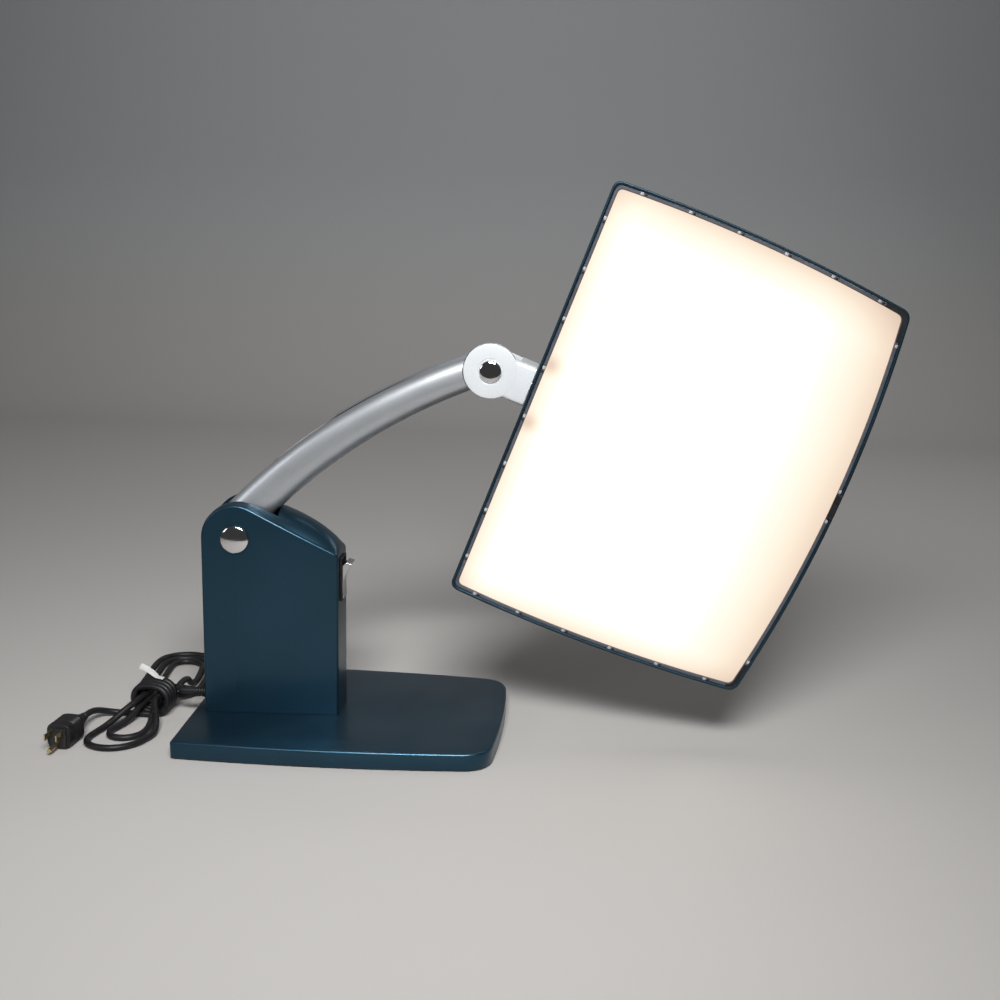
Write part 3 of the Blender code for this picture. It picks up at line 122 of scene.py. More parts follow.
arm_radius = 0.6335
arm_root_rise = 0.0116
arm_elbow_rise = 0.005
arm_root_depth = 0.0455
arm_elbow_depth = 0.0362
arm_root_width = 0.040
arm_elbow_width = 0.037
arm_section_power = 2.4
arm_wall = 0.002
fork_radius = 0.028
fork_far_radius = 0.0228
fork_half_width = 0.020
fork_edge = 0.0012
cap_seat_radius = 0.0135
cap_seat_edge = 0.0004
cap_seat_depth = 0.0003
fork_arm_clearance = 0.0008
knuckle_half_width = 0.012
washer_thickness = 0.0009
elbow_cap_radius = 0.0114
elbow_cap_rise = 0.0036
neck_depth = 0.042
neck_corner = 0.0045
neck_body_start = 0.0246
swivel_clearance = 0.0005

# Steps round the fine pieces' curves
corner_steps = 12
edge_steps = 20
fillet_steps = 6

# Mains cord, as in the part's source
cord_exit_z = 0.030
cord_diameter = 0.007
cord_lift = 0.0002
cord_rest_z = cord_diameter / 2 + cord_lift
relief_length = 0.0215
hank_x = -0.221
hank_y = 0.006
hank_turn = radians(87)
hank_far_bend = 0.625
hank_front_bend = 0.290
hank_entry = 0.109
waist_half = 0.014
waist_side = 0.008
waist_low_z = 0.0147
waist_high_z = 0.0237
lobe_drop_run = 0.052
far_reaches = (0.160, 0.172, 0.187)
far_widths = (0.0195, 0.0300, 0.0395)
front_reaches = (0.086, 0.116)
front_widths = (0.0175, 0.0295)
wrap_pitch = 0.00775
wrap_half_width = 0.0205
wrap_half_height = 0.0158
wrap_start_side = 0.026
wrap_start_z = 0.008
wrap_exit_side = 0.018
wrap_exit_slack = 0.001
drop_run_shares = (0.26, 0.50, 0.75, 1.00)
drop_width_shares = (0.12, 0.50, 0.83, 1.00)
drop_height_shares = (0.10, 0.43, 0.83, 1.00)
turn_points = 3
wrap_points = 12
wrap_turns = 3.75
wrap_power = 0.73
lead_points = (
    (-0.1877, 0.0011, 0.0301),
    (-0.1925, 0.0052, 0.0304),
    (-0.1945, 0.0118, 0.0306),
    (-0.1948, 0.0200, 0.0304),
    (-0.1949, 0.0300, 0.0296),
    (-0.1950, 0.0400, 0.0280),
    (-0.1953, 0.0490, 0.0250),
    (-0.1980, 0.0600, 0.0195),
    (-0.2005, 0.0720, 0.0120),
    (-0.2025, 0.0880, 0.0055),
)
tail_points = (
    (-0.2620, -0.0098, 0.0046),
    (-0.2700, -0.0148, 0.0076),
    (-0.2758, -0.0235, 0.0112),
)
plug_x = -0.2800
plug_y = -0.0490
plug_turn = radians(6)
plug_half_height = 0.0132
plug_half_width = 0.0130
boot_length = 0.024
plug_length = 0.034
plug_plate = 0.0012
boot_tip_radius = 0.0046
boot_root_radius = 0.0078
plug_way = Vector((-sin(plug_turn), -cos(plug_turn), 0))


# Node trees


class Socket:
    """One output of a node. Sums on it add their Math nodes."""

    def __init__(self, tree, socket):
        self.tree = tree
        self.socket = socket

    def maths(self, operation, first, second):
        return self.tree.add("ShaderNodeMath", {"operation": operation}, {0: first, 1: second})[0]

    def __add__(self, other):
        return self.maths("ADD", self, other)

    def __radd__(self, other):
        return self.maths("ADD", other, self)

    def __sub__(self, other):
        return self.maths("SUBTRACT", self, other)

    def __rsub__(self, other):
        return self.maths("SUBTRACT", other, self)

    def __mul__(self, other):
        return self.maths("MULTIPLY", self, other)

    def __truediv__(self, other):
        return self.maths("DIVIDE", self, other)

    def __pow__(self, other):
        return self.maths("POWER", self, other)

    def least(self, other):
        return self.maths("MINIMUM", self, other)

    def rise(self, low, high):
        """0 below low, 1 above high and smooth in between."""
        sockets = {"Value": self, "From Min": low, "From Max": high}
        return self.tree.add("ShaderNodeMapRange", {"interpolation_type": "SMOOTHSTEP"}, sockets)[0]


class Outputs:
    """The outputs of one node, by name or number."""

    def __init__(self, tree, node):
        self.tree = tree
        self.node = node

    def __getitem__(self, name):
        return Socket(self.tree, self.node.outputs[name])


class Tree:
    """A node tree, built node by node."""

    def __init__(self, tree):
        self.tree = tree

    def add(self, kind, settings=None, sockets=None):
        node = self.tree.nodes.new(kind)
        for name, value in (settings or {}).items():
            if name == "stops":
                set_stops(node.color_ramp, value)
            else:
                setattr(node, name, value)
        for name, value in (sockets or {}).items():
            self.feed(node.inputs[name], value)
        return Outputs(self, node)

    def feed(self, socket, value):
        if isinstance(value, Socket):
            self.tree.links.new(value.socket, socket)
        else:
            socket.default_value = value


def set_stops(ramp, stops):
    while len(ramp.elements) < len(stops):
        ramp.elements.new(1)
    for element, (position, colour) in zip(ramp.elements, stops):
        element.position = position
        element.color = (*colour, 1)


class Finish(Tree):
    """A material, whose pattern lies on the piece's own coordinates."""

    def __init__(self, name, colour, roughness, metallic=0.0, fixed=None):
        self.material = bpy.data.materials.new(name)
        self.material.use_nodes = True
        super().__init__(self.material.node_tree)
        self.shader = self.tree.nodes["Principled BSDF"]
        self.place = self.add("ShaderNodeTexCoord")["Object"]
        plain = {"Base Color": (*colour, 1), "Roughness": roughness, "Metallic": metallic}
        self.set({**plain, **(fixed or {})})
        self.material.diffuse_color = (*colour, 1)

    def set(self, sockets):
        for name, value in sockets.items():
            self.feed(self.shader.inputs[name], value)

    def stretched(self, scale):
        return self.add("ShaderNodeMapping", None, {"Vector": self.place, "Scale": scale})[0]

    def noise(self, scale, detail, place=None):
        sockets = {"Vector": place or self.place, "Scale": scale, "Detail": detail}
        return self.add("ShaderNodeTexNoise", None, sockets)[0]

    def cells(self, scale, output="Distance"):
        return self.add("ShaderNodeTexVoronoi", None, {"Vector": self.place, "Scale": scale})[output]

    def cell_shade(self, scale):
        """An even random number in each small cell."""
        colour = self.cells(scale, "Color")
        return self.add("ShaderNodeSeparateColor", None, {"Color": colour})[0]

    def axes(self):
        parts = self.add("ShaderNodeSeparateXYZ", None, {"Vector": self.place})
        return parts[0], parts[1], parts[2]

    def facing_up(self):
        normal = self.add("ShaderNodeNewGeometry")["Normal"]
        return self.add("ShaderNodeSeparateXYZ", None, {"Vector": normal})[2]

    def mix(self, share, first, second):
        first, second = [one if isinstance(one, Socket) else (*one, 1) for one in (first, second)]
        return self.add("ShaderNodeMix", {"data_type": "RGBA"}, {0: share, 6: first, 7: second})[2]

    def ramp(self, value, stops):
        return self.add("ShaderNodeValToRGB", {"stops": stops}, {"Fac": value})["Color"]

    def bump(self, height, strength, distance):
        sockets = {"Height": height, "Strength": strength, "Distance": distance}
        return self.add("ShaderNodeBump", None, sockets)["Normal"]


# Finishes


def metallic_paint(name, deep, bright, dust, roughness, metallic, fixed=None):
    """Paint with very fine metal flakes, a slow change of tone and a thin film of dust on top."""
    finish = Finish(name, bright, roughness, metallic, fixed)
    cloud = finish.noise(5, 2)
    flake = finish.cell_shade(2600)
    colour = finish.mix(cloud.rise(0.3, 0.7), deep, bright)
    sparkle = [min(1, 1.35 * part) for part in bright]
    colour = finish.mix(flake.rise(0.75, 1.0) * 0.30, colour, sparkle)
    speck = (0.10 - finish.cells(60)).rise(0, 0.06)
    film = finish.noise(12, 3).rise(0.40, 0.80)
    settled = finish.facing_up().rise(0.5, 0.98) * film * 0.22
    soiled = (settled + speck * 0.12).least(0.5)
    colour = finish.mix(soiled * dust, colour, (0.40, 0.39, 0.37))
    texture = finish.noise(420, 2)
    finish.set({
        "Base Color": colour,
        "Roughness": roughness + finish.noise(16, 2).rise(0.3, 0.7) * 0.04 + soiled * 0.15,
        "Normal": finish.bump(texture, 0.05, 0.0002),
    })
    return finish.material


def polished(name, colour, roughness, scratched):
    finish = Finish(name, colour, roughness, 1.0)
    scratch = finish.noise(60, 3, finish.stretched((1, 1, 22))).rise(0.56, 0.72)
    smudge = finish.noise(70, 4).rise(0.45, 0.70)
    worn = finish.mix(scratch * scratched, colour, [0.8 * part for part in colour])
    finish.set({
        "Base Color": worn,
        "Roughness": roughness + scratch * 0.05 + smudge * 0.05,
        "Normal": finish.bump(scratch, 0.06, 0.0001),
    })
    return finish.material


def blade_brass():
    """The plug's blades and earth pin in plain brass, and the plate that carries them in black."""
    brass_colour, worn_colour = (0.66, 0.54, 0.32), (0.50, 0.40, 0.23)
    finish = Finish("plug_brass", brass_colour, 0.26, 1.0)
    x, y, _ = finish.axes()
    along = (x - plug_x) * plug_way.x + (y - plug_y) * plug_way.y
    blade = (along - boot_length - plug_length - gap - plug_plate).rise(0.00005, 0.00010)
    scratch = finish.noise(60, 3, finish.stretched((22, 1, 22))).rise(0.5, 0.72)
    metal = finish.mix(scratch * 0.6, brass_colour, worn_colour)
    finish.set({
        "Base Color": finish.mix(blade, (0.010, 0.010, 0.011), metal),
        "Roughness": 0.40 - blade * 0.14 + scratch * 0.06,
        "Metallic": blade,
        "Normal": finish.bump(scratch, 0.06, 0.0001),
    })
    return finish.material


def zinc_plate():
    """Zinc-plated sheet: spangled patches and a fine brushed grain."""
    finish = Finish("zinc_plated_steel", (0.55, 0.56, 0.58), 0.34, 0.95)
    patch = finish.cell_shade(240)
    grain = finish.noise(420, 2, finish.stretched((1, 1, 12)))
    colour = finish.mix(patch, (0.42, 0.43, 0.45), (0.62, 0.63, 0.64))
    finish.set({
        "Base Color": finish.mix(grain.rise(0.4, 0.7) * 0.4, colour, (0.50, 0.48, 0.44)),
        "Roughness": 0.26 + patch * 0.16,
        "Normal": finish.bump(grain, 0.15, 0.0002),
    })
    return finish.material


def cast_metal(name, colour, metallic, coarse):
    finish = Finish(name, colour, 0.6, metallic)
    grain = finish.noise(coarse, 5)
    pale = [1.5 * part for part in colour]
    finish.set({
        "Base Color": finish.mix(grain.rise(0.35, 0.75), colour, pale),
        "Roughness": 0.50 + finish.noise(40, 2) * 0.25,
        "Normal": finish.bump(grain, 0.5, 0.0006),
    })
    return finish.material


def moulded_plastic(name, colour, roughness, grain_scale, grain_depth, dust, fixed=None):
    """Moulded plastic or rubber: a spark-eroded grain, faint flow marks and patches of dust."""
    finish = Finish(name, colour, roughness, 0.0, fixed)
    grain = finish.noise(grain_scale, 3)
    flow = finish.noise(22, 2, finish.stretched((1, 1, 3)))
    pale = [min(1, part * 1.25 + 0.004) for part in colour]
    tone = finish.mix(flow.rise(0.35, 0.7), colour, pale)
    dusty = finish.noise(130, 4).rise(0.58, 0.78) * dust
    finish.set({
        "Base Color": finish.mix(dusty, tone, (0.30, 0.29, 0.27)),
        "Roughness": roughness + grain * 0.12 + dusty * 0.2,
        "Normal": finish.bump(grain, grain_depth, 0.0004),
    })
    return finish.material


def opal_sheet():
    """The lit sheet: white over the lamps, paler and warmer to its edges, most to the free side, with two
    painted shadows near the neck where the bracket's screw bosses shade it.
    """
    rim, shadow_spot_in, shadow_spot_half, shadow_spot_radius = 0.007, 0.013, 0.031, 0.016
    finish = Finish("lit_opal_sheet", (0.10, 0.097, 0.092), 0.42, 0.0, {"Emission Strength": 1.0})
    x, _, z = finish.axes()
    u = (x - elbow.x) * cos(neck_droop) - (z - elbow.z) * sin(neck_droop)
    w = (x - elbow.x) * sin(neck_droop) + (z - elbow.z) * cos(neck_droop)
    from_left = u - (head_left + rim)
    half_height = head_left_height / 2 - u * ((head_left_height - head_right_height) / 2 / head_straight)
    bow_room = 1 - (w / (head_right_height / 2)) ** 2
    from_right = head_left + head_straight - rim + bow_room * head_right_bow - u
    glow = from_left.rise(-0.026, 0.030)
    glow = glow * from_right.rise(-0.048, 0.095)
    glow = glow * (half_height - w).rise(-0.025, 0.048)
    glow = glow * (half_height + w).rise(-0.026, 0.030)
    glow = glow + (finish.noise(11, 2) * 0.06 - 0.03)
    # Painted shadows: the glow dims in two round spots near the neck, where the bracket's screw bosses
    # behind the sheet shade it.
    for shadow_spot_w in (-shadow_spot_half, shadow_spot_half):
        off_u, off_w = u - (head_left + shadow_spot_in), w - shadow_spot_w
        near = (off_u * off_u + off_w * off_w) ** 0.5
        glow = glow - (shadow_spot_radius - near).rise(0, shadow_spot_radius) * 0.42
    light = finish.ramp(glow, [
        (0.0, (0.50, 0.34, 0.24)),
        (0.25, (0.74, 0.57, 0.43)),
        (0.50, (0.88, 0.75, 0.59)),
        (0.78, (0.93, 0.88, 0.75)),
        (0.95, (1.0, 0.98, 0.92)),
    ])
    finish.set({
        "Emission Color": light,
        "Roughness": 0.36 + finish.noise(90, 2) * 0.1,
        "Normal": finish.bump(finish.noise(900, 2), 0.08, 0.0003),
    })
    return finish.material


def lamp_glass():
    finish = Finish("lit_lamp_glass", (0.9, 0.9, 0.88), 0.25, 0.0, {"Emission Strength": 1.5})
    band = finish.noise(30, 2) * 0.2 + 0.8
    light = finish.ramp(band, [(0.0, (0.9, 0.75, 0.6)), (1.0, (1.0, 0.98, 0.94))])
    finish.set({"Emission Color": light, "Roughness": 0.2 + finish.noise(200, 2) * 0.15})
    return finish.material


coat = {"Coat Weight": 0.12, "Coat Roughness": 0.14}
dull = {"Specular IOR Level": 0.25}
finishes = {
    "blue_paint": metallic_paint(
        "blue_metallic_paint", (0.015, 0.046, 0.072), (0.019, 0.058, 0.092), 0.25, 0.33, 0.84, coat
    ),
    "silver_paint": metallic_paint(
        "silver_satin_paint", (0.455, 0.475, 0.50), (0.505, 0.525, 0.55), 0.06, 0.37, 0.85
    ),
    "pale_silver": metallic_paint(
        "pale_silver_paint", (0.55, 0.575, 0.595), (0.60, 0.625, 0.645), 0.10, 0.42, 0.30
    ),
    "chrome": polished("polished_chrome", (0.74, 0.73, 0.74), 0.05, 0.30),
    "chrome_plastic": polished("chromed_plastic", (0.58, 0.57, 0.58), 0.07, 0.45),
    "brass": blade_brass(),
    "steel": zinc_plate(),
    "dark_cast": cast_metal("dark_cast_metal", (0.045, 0.050, 0.056), 0.6, 260),
    "iron": cast_metal("cast_iron", (0.10, 0.10, 0.10), 0.5, 180),
    "black_rubber": moulded_plastic("pad_rubber", (0.016, 0.016, 0.016), 0.68, 800, 0.35, 0.35),
    "cord_black": moulded_plastic("cord_sheath", (0.007, 0.007, 0.008), 0.38, 1100, 0.10, 0.10, dull),
    "black_plastic": moulded_plastic("black_plastic", (0.006, 0.006, 0.007), 0.46, 900, 0.20, 0.04, dull),
    "white_plastic": moulded_plastic("white_plastic", (0.78, 0.78, 0.76), 0.42, 900, 0.12, 0.10),
    "frame_grey": moulded_plastic("frame_plastic", (0.042, 0.048, 0.062), 0.42, 900, 0.15, 0.12),
    "reflector_white": moulded_plastic("tray_white", (0.84, 0.84, 0.83), 0.28, 500, 0.05, 0.08),
    "opal": opal_sheet(),
    "lamp_glass": lamp_glass(),
}
# The column's blue paint drawn darker for the head shell: painted shade on the same paint.
shaded_head_paint = metallic_paint(
    "blue_paint_painted_shade", (0.008, 0.022, 0.034), (0.012, 0.034, 0.052), 0.20, 0.40, 0.70, coat
)
tie_plastic = moulded_plastic("tie_plastic", (0.44, 0.44, 0.43), 0.45, 700, 0.15, 0.22)
tab_plastic = moulded_plastic("tab_plastic", (0.29, 0.28, 0.29), 0.42, 900, 0.12, 0.10)


def finish_solids():
    """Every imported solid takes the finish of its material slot."""
    for part in frame["record"]["subparts"]:
        mesh = nodes[part["node"]].data
        mesh.materials.clear()
        mesh.materials.append(finishes[part["material_slot"]])
        for face in mesh.polygons:
            face.material_index = 0


# Modelling helpers


def in_head(u, y, w):
    """A point of the head's own frame, in the world's axes."""
    x = elbow.x + u * cos(neck_droop) + w * sin(neck_droop)
    return Vector((x, y, elbow.z - u * sin(neck_droop) + w * cos(neck_droop)))


def blend(first, last, share):
    return first + (last - first) * share


def fit(obj, slot, body, *replaced, look=None):
    """Finishes a piece: its slot and material, the body it rides on and the solids it stands for."""
    obj.data.materials.clear()
    obj.data.materials.append(look or finishes[slot])
    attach(obj, body)
    if replaced:
        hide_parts(*replaced)
    return obj


def new_object(name, data):
    obj = bpy.data.objects.new(name, data)
    bpy.context.scene.collection.objects.link(obj)
    return obj


def from_bmesh(name, bm, sharp=35):
    bmesh.ops.recalc_face_normals(bm, faces=bm.faces)
    mesh = bpy.data.meshes.new(name)
    bm.to_mesh(mesh)
    bm.free()
    mesh.shade_smooth()
    mesh.set_sharp_from_angle(angle=radians(sharp))
    return new_object(name, mesh)


def loft(name, rings, sharp=35, endless=False):
    """A skin over rings of as many points each. Its ends are closed, or endless joins them."""
    bm = bmesh.new()
    rows = [[bm.verts.new(point) for point in ring] for ring in rings]
    beyond = rows[:1] if endless else []
    for near, far in zip(rows, rows[1:] + beyond):
        for i in range(len(near)):
            j = (i + 1) % len(near)
            bm.faces.new((near[i], near[j], far[j], far[i]))
    if not endless:
        bm.faces.new(rows[0])
        bm.faces.new(rows[-1])
    return from_bmesh(name, bm, sharp)


def turned(name, profile, place, towards, steps, sharp=35):
    """A solid of revolution. The profile's pairs are radius and height, and both ends have radius 0."""
    turn = Vector((0, 0, 1)).rotation_difference(Vector(towards)).to_matrix()
    place = Vector(place)
    bm = bmesh.new()
    rows = []
    for radius, height in profile:
        angles = [2 * pi * step / steps for step in range(steps if radius else 1)]
        points = [Vector((radius * cos(angle), radius * sin(angle), height)) for angle in angles]
        rows.append([bm.verts.new(place + turn @ point) for point in points])
    for near, far in zip(rows, rows[1:]):
        for i in range(steps):
            j = (i + 1) % steps
            corners = [near[i % len(near)], near[j % len(near)], far[j % len(far)], far[i % len(far)]]
            bm.faces.new(list(dict.fromkeys(corners)))
    return from_bmesh(name, bm, sharp)


def block(name, low, high):
    section = [(low[1], low[2]), (high[1], low[2]), (high[1], high[2]), (low[1], high[2])]
    return loft(name, [[(x, y, z) for y, z in section] for x in (low[0], high[0])])


def joined(name, pieces):
    bm = bmesh.new()
    for piece in pieces:
        bm.from_mesh(piece.data)
        bpy.data.objects.remove(piece)
    return from_bmesh(name, bm)


def baked(obj, name):
    """The object's shape after its modifiers, as a plain mesh that takes its place."""
    graph = bpy.context.evaluated_depsgraph_get()
    mesh = bpy.data.meshes.new_from_object(obj.evaluated_get(graph))
    bpy.data.objects.remove(obj)
    return new_object(name, mesh)


def evened(obj, name):
    """The object as a plain mesh, shaded by the size of its faces."""
    even = obj.modifiers.new("even_shading", "WEIGHTED_NORMAL")
    even.keep_sharp = True
    return baked(obj, name)


def cut_away(obj, name, tools):
    """The object less the tools."""
    for tool in tools:
        cutting = obj.modifiers.new("cut", "BOOLEAN")
        cutting.operation = "DIFFERENCE"
        cutting.solver = "EXACT"
        cutting.object = tool
    obj = baked(obj, name + "_cut")
    for tool in tools:
        bpy.data.objects.remove(tool)
    return evened(joined(name + "_joined", [obj]), name)


# Mains cord: the same route as the solids


def on_desk(along, across, z):
    """A point of the hank, from its place along and across its length, in the world's axes."""
    beyond = max(along - waist_half, 0) + min(along + waist_half, 0)
    bend = hank_far_bend if along > 0 else hank_front_bend
    turn = beyond / (2 * bend)
    inner = along - beyond
    along = inner + cos(turn) * beyond - sin(turn) * across
    across = abs(sin(turn) * beyond) + cos(turn) * across
    x = hank_x + cos(hank_turn) * along - sin(hank_turn) * across
    y = hank_y + sin(hank_turn) * along + cos(hank_turn) * across
    return (x, y, z)


def half_lobe(way, reach, width, side, z):
    """One half of a loop, from the waist to the middle of its turn."""
    points = []
    for run, across, drop in zip(drop_run_shares, drop_width_shares, drop_height_shares):
        along = way * (waist_half + lobe_drop_run * run)
        height = max(cord_rest_z, blend(z, z - waist_high_z + cord_rest_z, drop))
        points.append(on_desk(along, blend(side, width, across), height))
    return points + half_turn(way, reach, width)


def half_turn(way, reach, width):
    """One half of a loop's turn, flat on the desk, from its widest place to its middle."""
    radius = abs(width)
    straight = (waist_half + lobe_drop_run + reach - radius) / 2
    points = [on_desk(way * straight, width, cord_rest_z)]
    for i in range(turn_points):
        angle = (i + 1 / 2) * pi / (2 * turn_points)
        along = way * (reach - radius + radius * sin(angle))
        points.append(on_desk(along, width * cos(angle), cord_rest_z))
    return points


def lobe(way, reach, width, start, end):
    """A whole loop, from its start at one side of the waist to its end at the other."""
    turn = 1 if start[0] > 0 else -1
    there = half_lobe(way, reach, turn * width, *start)
    back = half_lobe(way, reach, -turn * width, *end)
    return there + back[::-1]


def waist_run(way, side, z):
    return [on_desk(way * waist_half * share, side, z) for share in (-1, 0, 1)]


def wraps():
    """The last turns of the cord, wound round the waist from far to near."""
    centre = (waist_low_z + waist_high_z) / 2
    points = []
    for i in range(int(wrap_turns * wrap_points) + 1):
        turn = 2 * pi * i / wrap_points
        along = wrap_pitch * (wrap_turns / 2 - i / wrap_points)
        across = wrap_half_width * abs(cos(turn)) ** wrap_power
        across = across if cos(turn) > 0 else -across
        points.append(on_desk(along, across, centre + wrap_half_height * sin(turn)))
    return points


def hank_points():
    left, right = waist_side, -waist_side
    low, high = waist_low_z, waist_high_z
    points = half_turn(1, far_reaches[0], -far_widths[0])[1:]
    points += half_lobe(1, far_reaches[0], far_widths[0], left, low)[::-1]
    points += waist_run(-1, left, low)
    points += lobe(-1, front_reaches[0], front_widths[0], (left, low), (right, low))
    points += waist_run(1, right, low)
    points += lobe(1, far_reaches[1], far_widths[1], (right, low), (left, high))
    points += waist_run(-1, left, high)
    points += lobe(-1, front_reaches[1], front_widths[1], (left, high), (right, high))
    points += waist_run(1, right, high)
    points += lobe(1, far_reaches[2], far_widths[2], (right, high), (wrap_start_side, wrap_start_z))
    return points + wraps()


def straight_run(place, way, first=-2, last=2):
    """Points on a line through a place, as far apart as the cord is thick."""
    return [place + way * cord_diameter * step for step in range(first, last + 1)]


def desk_run(along, across, run_along, run_across):
    """A short straight of the cord flat on the desk, through a place and one a step beyond it."""
    place = Vector(on_desk(along, across, cord_rest_z))
    beyond = Vector(on_desk(along + run_along, across + run_across, cord_rest_z))
    return straight_run(place, (beyond - place).normalized())


def cord_route():
    """The control points of the whole cord, from the strain relief's tip to the plug."""
    tip = Vector((column_rear_x - relief_length - gap, 0, cord_exit_z))
    exit_along = -wrap_pitch * wrap_turns / 2 - wrap_exit_slack
    plug_end = Vector((plug_x, plug_y, plug_half_height + gap)) - plug_way * gap
    points = [*straight_run(tip, Vector((-1, 0, 0)), 0), *lead_points]
    points += desk_run(hank_entry, -far_widths[0], cord_diameter, 0)
    points += hank_points()
    points += desk_run(exit_along, wrap_exit_side, 0, cord_diameter)
    points += [*tail_points, *straight_run(plug_end, plug_way, last=0)]
    return [Vector(point) for point in points]


def make_cord():
    curve = bpy.data.curves.new("mains_cord", "CURVE")
    curve.dimensions = "3D"
    curve.bevel_depth = cord_diameter / 2
    curve.bevel_resolution = 4
    curve.use_fill_caps = True
    route = cord_route()
    spline = curve.splines.new("NURBS")
    spline.points.add(len(route) - 1)
    for point, place in zip(spline.points, route):
        point.co = (*place, 1)
    spline.order_u = 4
    spline.use_endpoint_u = True
    spline.resolution_u = 5
    spline.use_smooth = True
    cord = new_object("mains_cord", curve)
    return fit(cord, "cord_black", "stand", "cord_lead", "cord_hank", "cord_tail")


# Twist tie: a white strip with a wire down its middle

tie_width = 0.007
tie_wing = 0.0006
tie_wire = 0.0014
tie_lift = 0.0010
tie_slant = 0.006
tie_first_turn = radians(112)
tie_last_turn = radians(95)
tie_end_along = 0.012
tie_end_across = 0.024
tie_end_rise = 0.007
tie_end_lean = radians(55)
tie_end_bow = 0.0015
tie_steps = 18
tie_end_steps = 8


def tie_path():
    """Places on the strip's middle line with the way that its face looks."""
    centre = (waist_low_z + waist_high_z) / 2
    reach = cord_diameter / 2 + tie_lift
    path = []
    for step in range(tie_steps + 1):
        turn = blend(tie_first_turn, tie_last_turn, step / tie_steps)
        across = (wrap_half_width + reach) * cos(turn)
        rise = (wrap_half_height + reach) * sin(turn)
        path.append((Vector((tie_slant, across, centre + rise)), Vector((0, cos(turn), sin(turn)))))
    last = path[-1][0]
    for step in range(1, tie_end_steps + 1):
        share = step / tie_end_steps
        bow = Vector((0, 0, tie_end_bow * sin(pi * share)))
        place = last + share * Vector((tie_end_along, tie_end_across, tie_end_rise)) + bow
        lean = tie_end_lean * share
        path.append((place, Vector((-sin(lean), 0, cos(lean)))))
    return path


def make_tie():
    half, wing, wire = tie_width / 2, tie_wing / 2, tie_wire / 2
    upper = [(half, wing), (2 * wire, wing), (wire, wire), (-wire, wire), (-2 * wire, wing), (-half, wing)]
    section = [(-across, -lift) for across, lift in upper] + upper
    path = tie_path()
    rings = []
    for number, (place, outward) in enumerate(path):
        before, after = path[max(number - 1, 0)][0], path[min(number + 1, len(path) - 1)][0]
        side = (after - before).normalized().cross(outward).normalized()
        rings.append([on_desk(*(place + side * across + outward * lift)) for across, lift in section])
    return fit(loft("twist_tie_strip", rings), "white_plastic", "stand", "twist_tie", look=tie_plastic)


# Plug and strain relief

boot_ribs = 7
boot_thin_ribs = 3
boot_rib_round = 0.0004
boot_rib_depth = 0.0012
boot_rib_shares = (0, 0.15, 0.55, 0.70, 0.85)
plug_shoulder = 0.003
plug_shoulder_steps = 4
plug_edge = 0.0012
plug_edge_steps = 3
grip_grooves = 5
grip_depth = 0.0007
grip_shares = (0, 0.2, 0.5, 0.7)
grip_start = 0.007
grip_end = 0.010
relief_ribs = 6
relief_rib_depth = 0.0011
relief_rib_shares = (0.05, 0.35, 0.45, 0.55, 0.90, 1)
relief_wall = 0.0005
relief_edge = 0.0002


def in_plug(along, y, z):
    """A point of the plug, from its cord end, with its length along the way that the cord enters."""
    side = Vector((-plug_way.y, plug_way.x, 0))
    place = Vector((plug_x, plug_y, plug_half_height + gap))
    return place + plug_way * along + side * y + Vector((0, 0, z))


def plug_ring(along, half_width, half_height, power, sides=48):
    ring = []
    for step in range(sides):
        turn = 2 * pi * step / sides
        y, z = (copysign(abs(part) ** (2 / power), part) for part in (cos(turn), sin(turn)))
        ring.append(in_plug(along, half_width * y, half_height * z))
    return ring


def make_plug():
    """The moulded plug: a ribbed boot, a shoulder, and a body with grip grooves."""
    rings = []
    pitch = boot_length / boot_ribs
    for rib in range(boot_ribs):
        start = boot_length * rib / boot_ribs
        radius = blend(boot_tip_radius, boot_root_radius, rib / (boot_ribs - 1))
        groove = cord_diameter / 2 + boot_rib_round if rib < boot_thin_ribs else radius - boot_rib_depth
        reaches = (radius - boot_rib_round, radius, radius, groove, groove)
        for share, reach in zip(boot_rib_shares, reaches):
            rings.append(plug_ring(start + share * pitch, reach, reach, 2))
    width, height = plug_half_width, plug_half_height
    for step in range(plug_shoulder_steps + 1):
        share = step / plug_shoulder_steps
        inset = plug_shoulder * (1 - sin(pi / 2 * share))
        along = boot_length + plug_shoulder * (1 - cos(pi / 2 * share))
        rings.append(plug_ring(along, width - inset, height - inset, blend(3, 4, share)))
    first, end = boot_length + grip_start, boot_length + plug_length
    pitch = (end - grip_end - first) / grip_grooves
    for groove in range(grip_grooves):
        start = first + pitch * groove
        for share, depth in zip(grip_shares, (0, grip_depth, grip_depth, 0)):
            rings.append(plug_ring(start + share * pitch, width - depth, height - depth, 4))
    for step in range(plug_edge_steps + 1):
        turn = pi / 2 * step / plug_edge_steps
        inset = plug_edge * (1 - cos(turn))
        rings.append(plug_ring(end - plug_edge * (1 - sin(turn)), width - inset, height - inset, 4))
    return fit(loft("moulded_plug", rings), "cord_black", "stand", "plug_body")


def make_strain_relief():
    """The ribbed boot at the column: it tapers from its collar to the cord."""
    neck, root, tip, flange = 0.0056, 0.0074, 0.0046, 0.0085
    wall, flange_depth, collar = 0.003, 0.002, 0.003
    inside = -wall - gap
    profile = [(0, inside - flange_depth), (flange, inside - flange_depth), (flange, inside)]
    profile += [(neck, inside), (neck, gap), (root, gap), (root, collar)]
    pitch = (relief_length - collar) / relief_ribs
    for rib in range(relief_ribs):
        start = collar + rib * pitch
        radius = blend(root, tip, (rib + 1) / relief_ribs)
        groove = max(radius - relief_rib_depth, cord_diameter / 2 + relief_wall)
        edge = radius - relief_edge
        reaches = (groove, groove, edge, radius, radius, edge)
        profile += [(reach, start + share * pitch) for share, reach in zip(relief_rib_shares, reaches)]
    profile.append((0, relief_length))
    relief = turned("ribbed_strain_relief", profile, (column_rear_x, 0, cord_exit_z), (-1, 0, 0), 40)
    fit(relief, "cord_black", "stand", "strain_relief")


# Outlines of the base and of the head


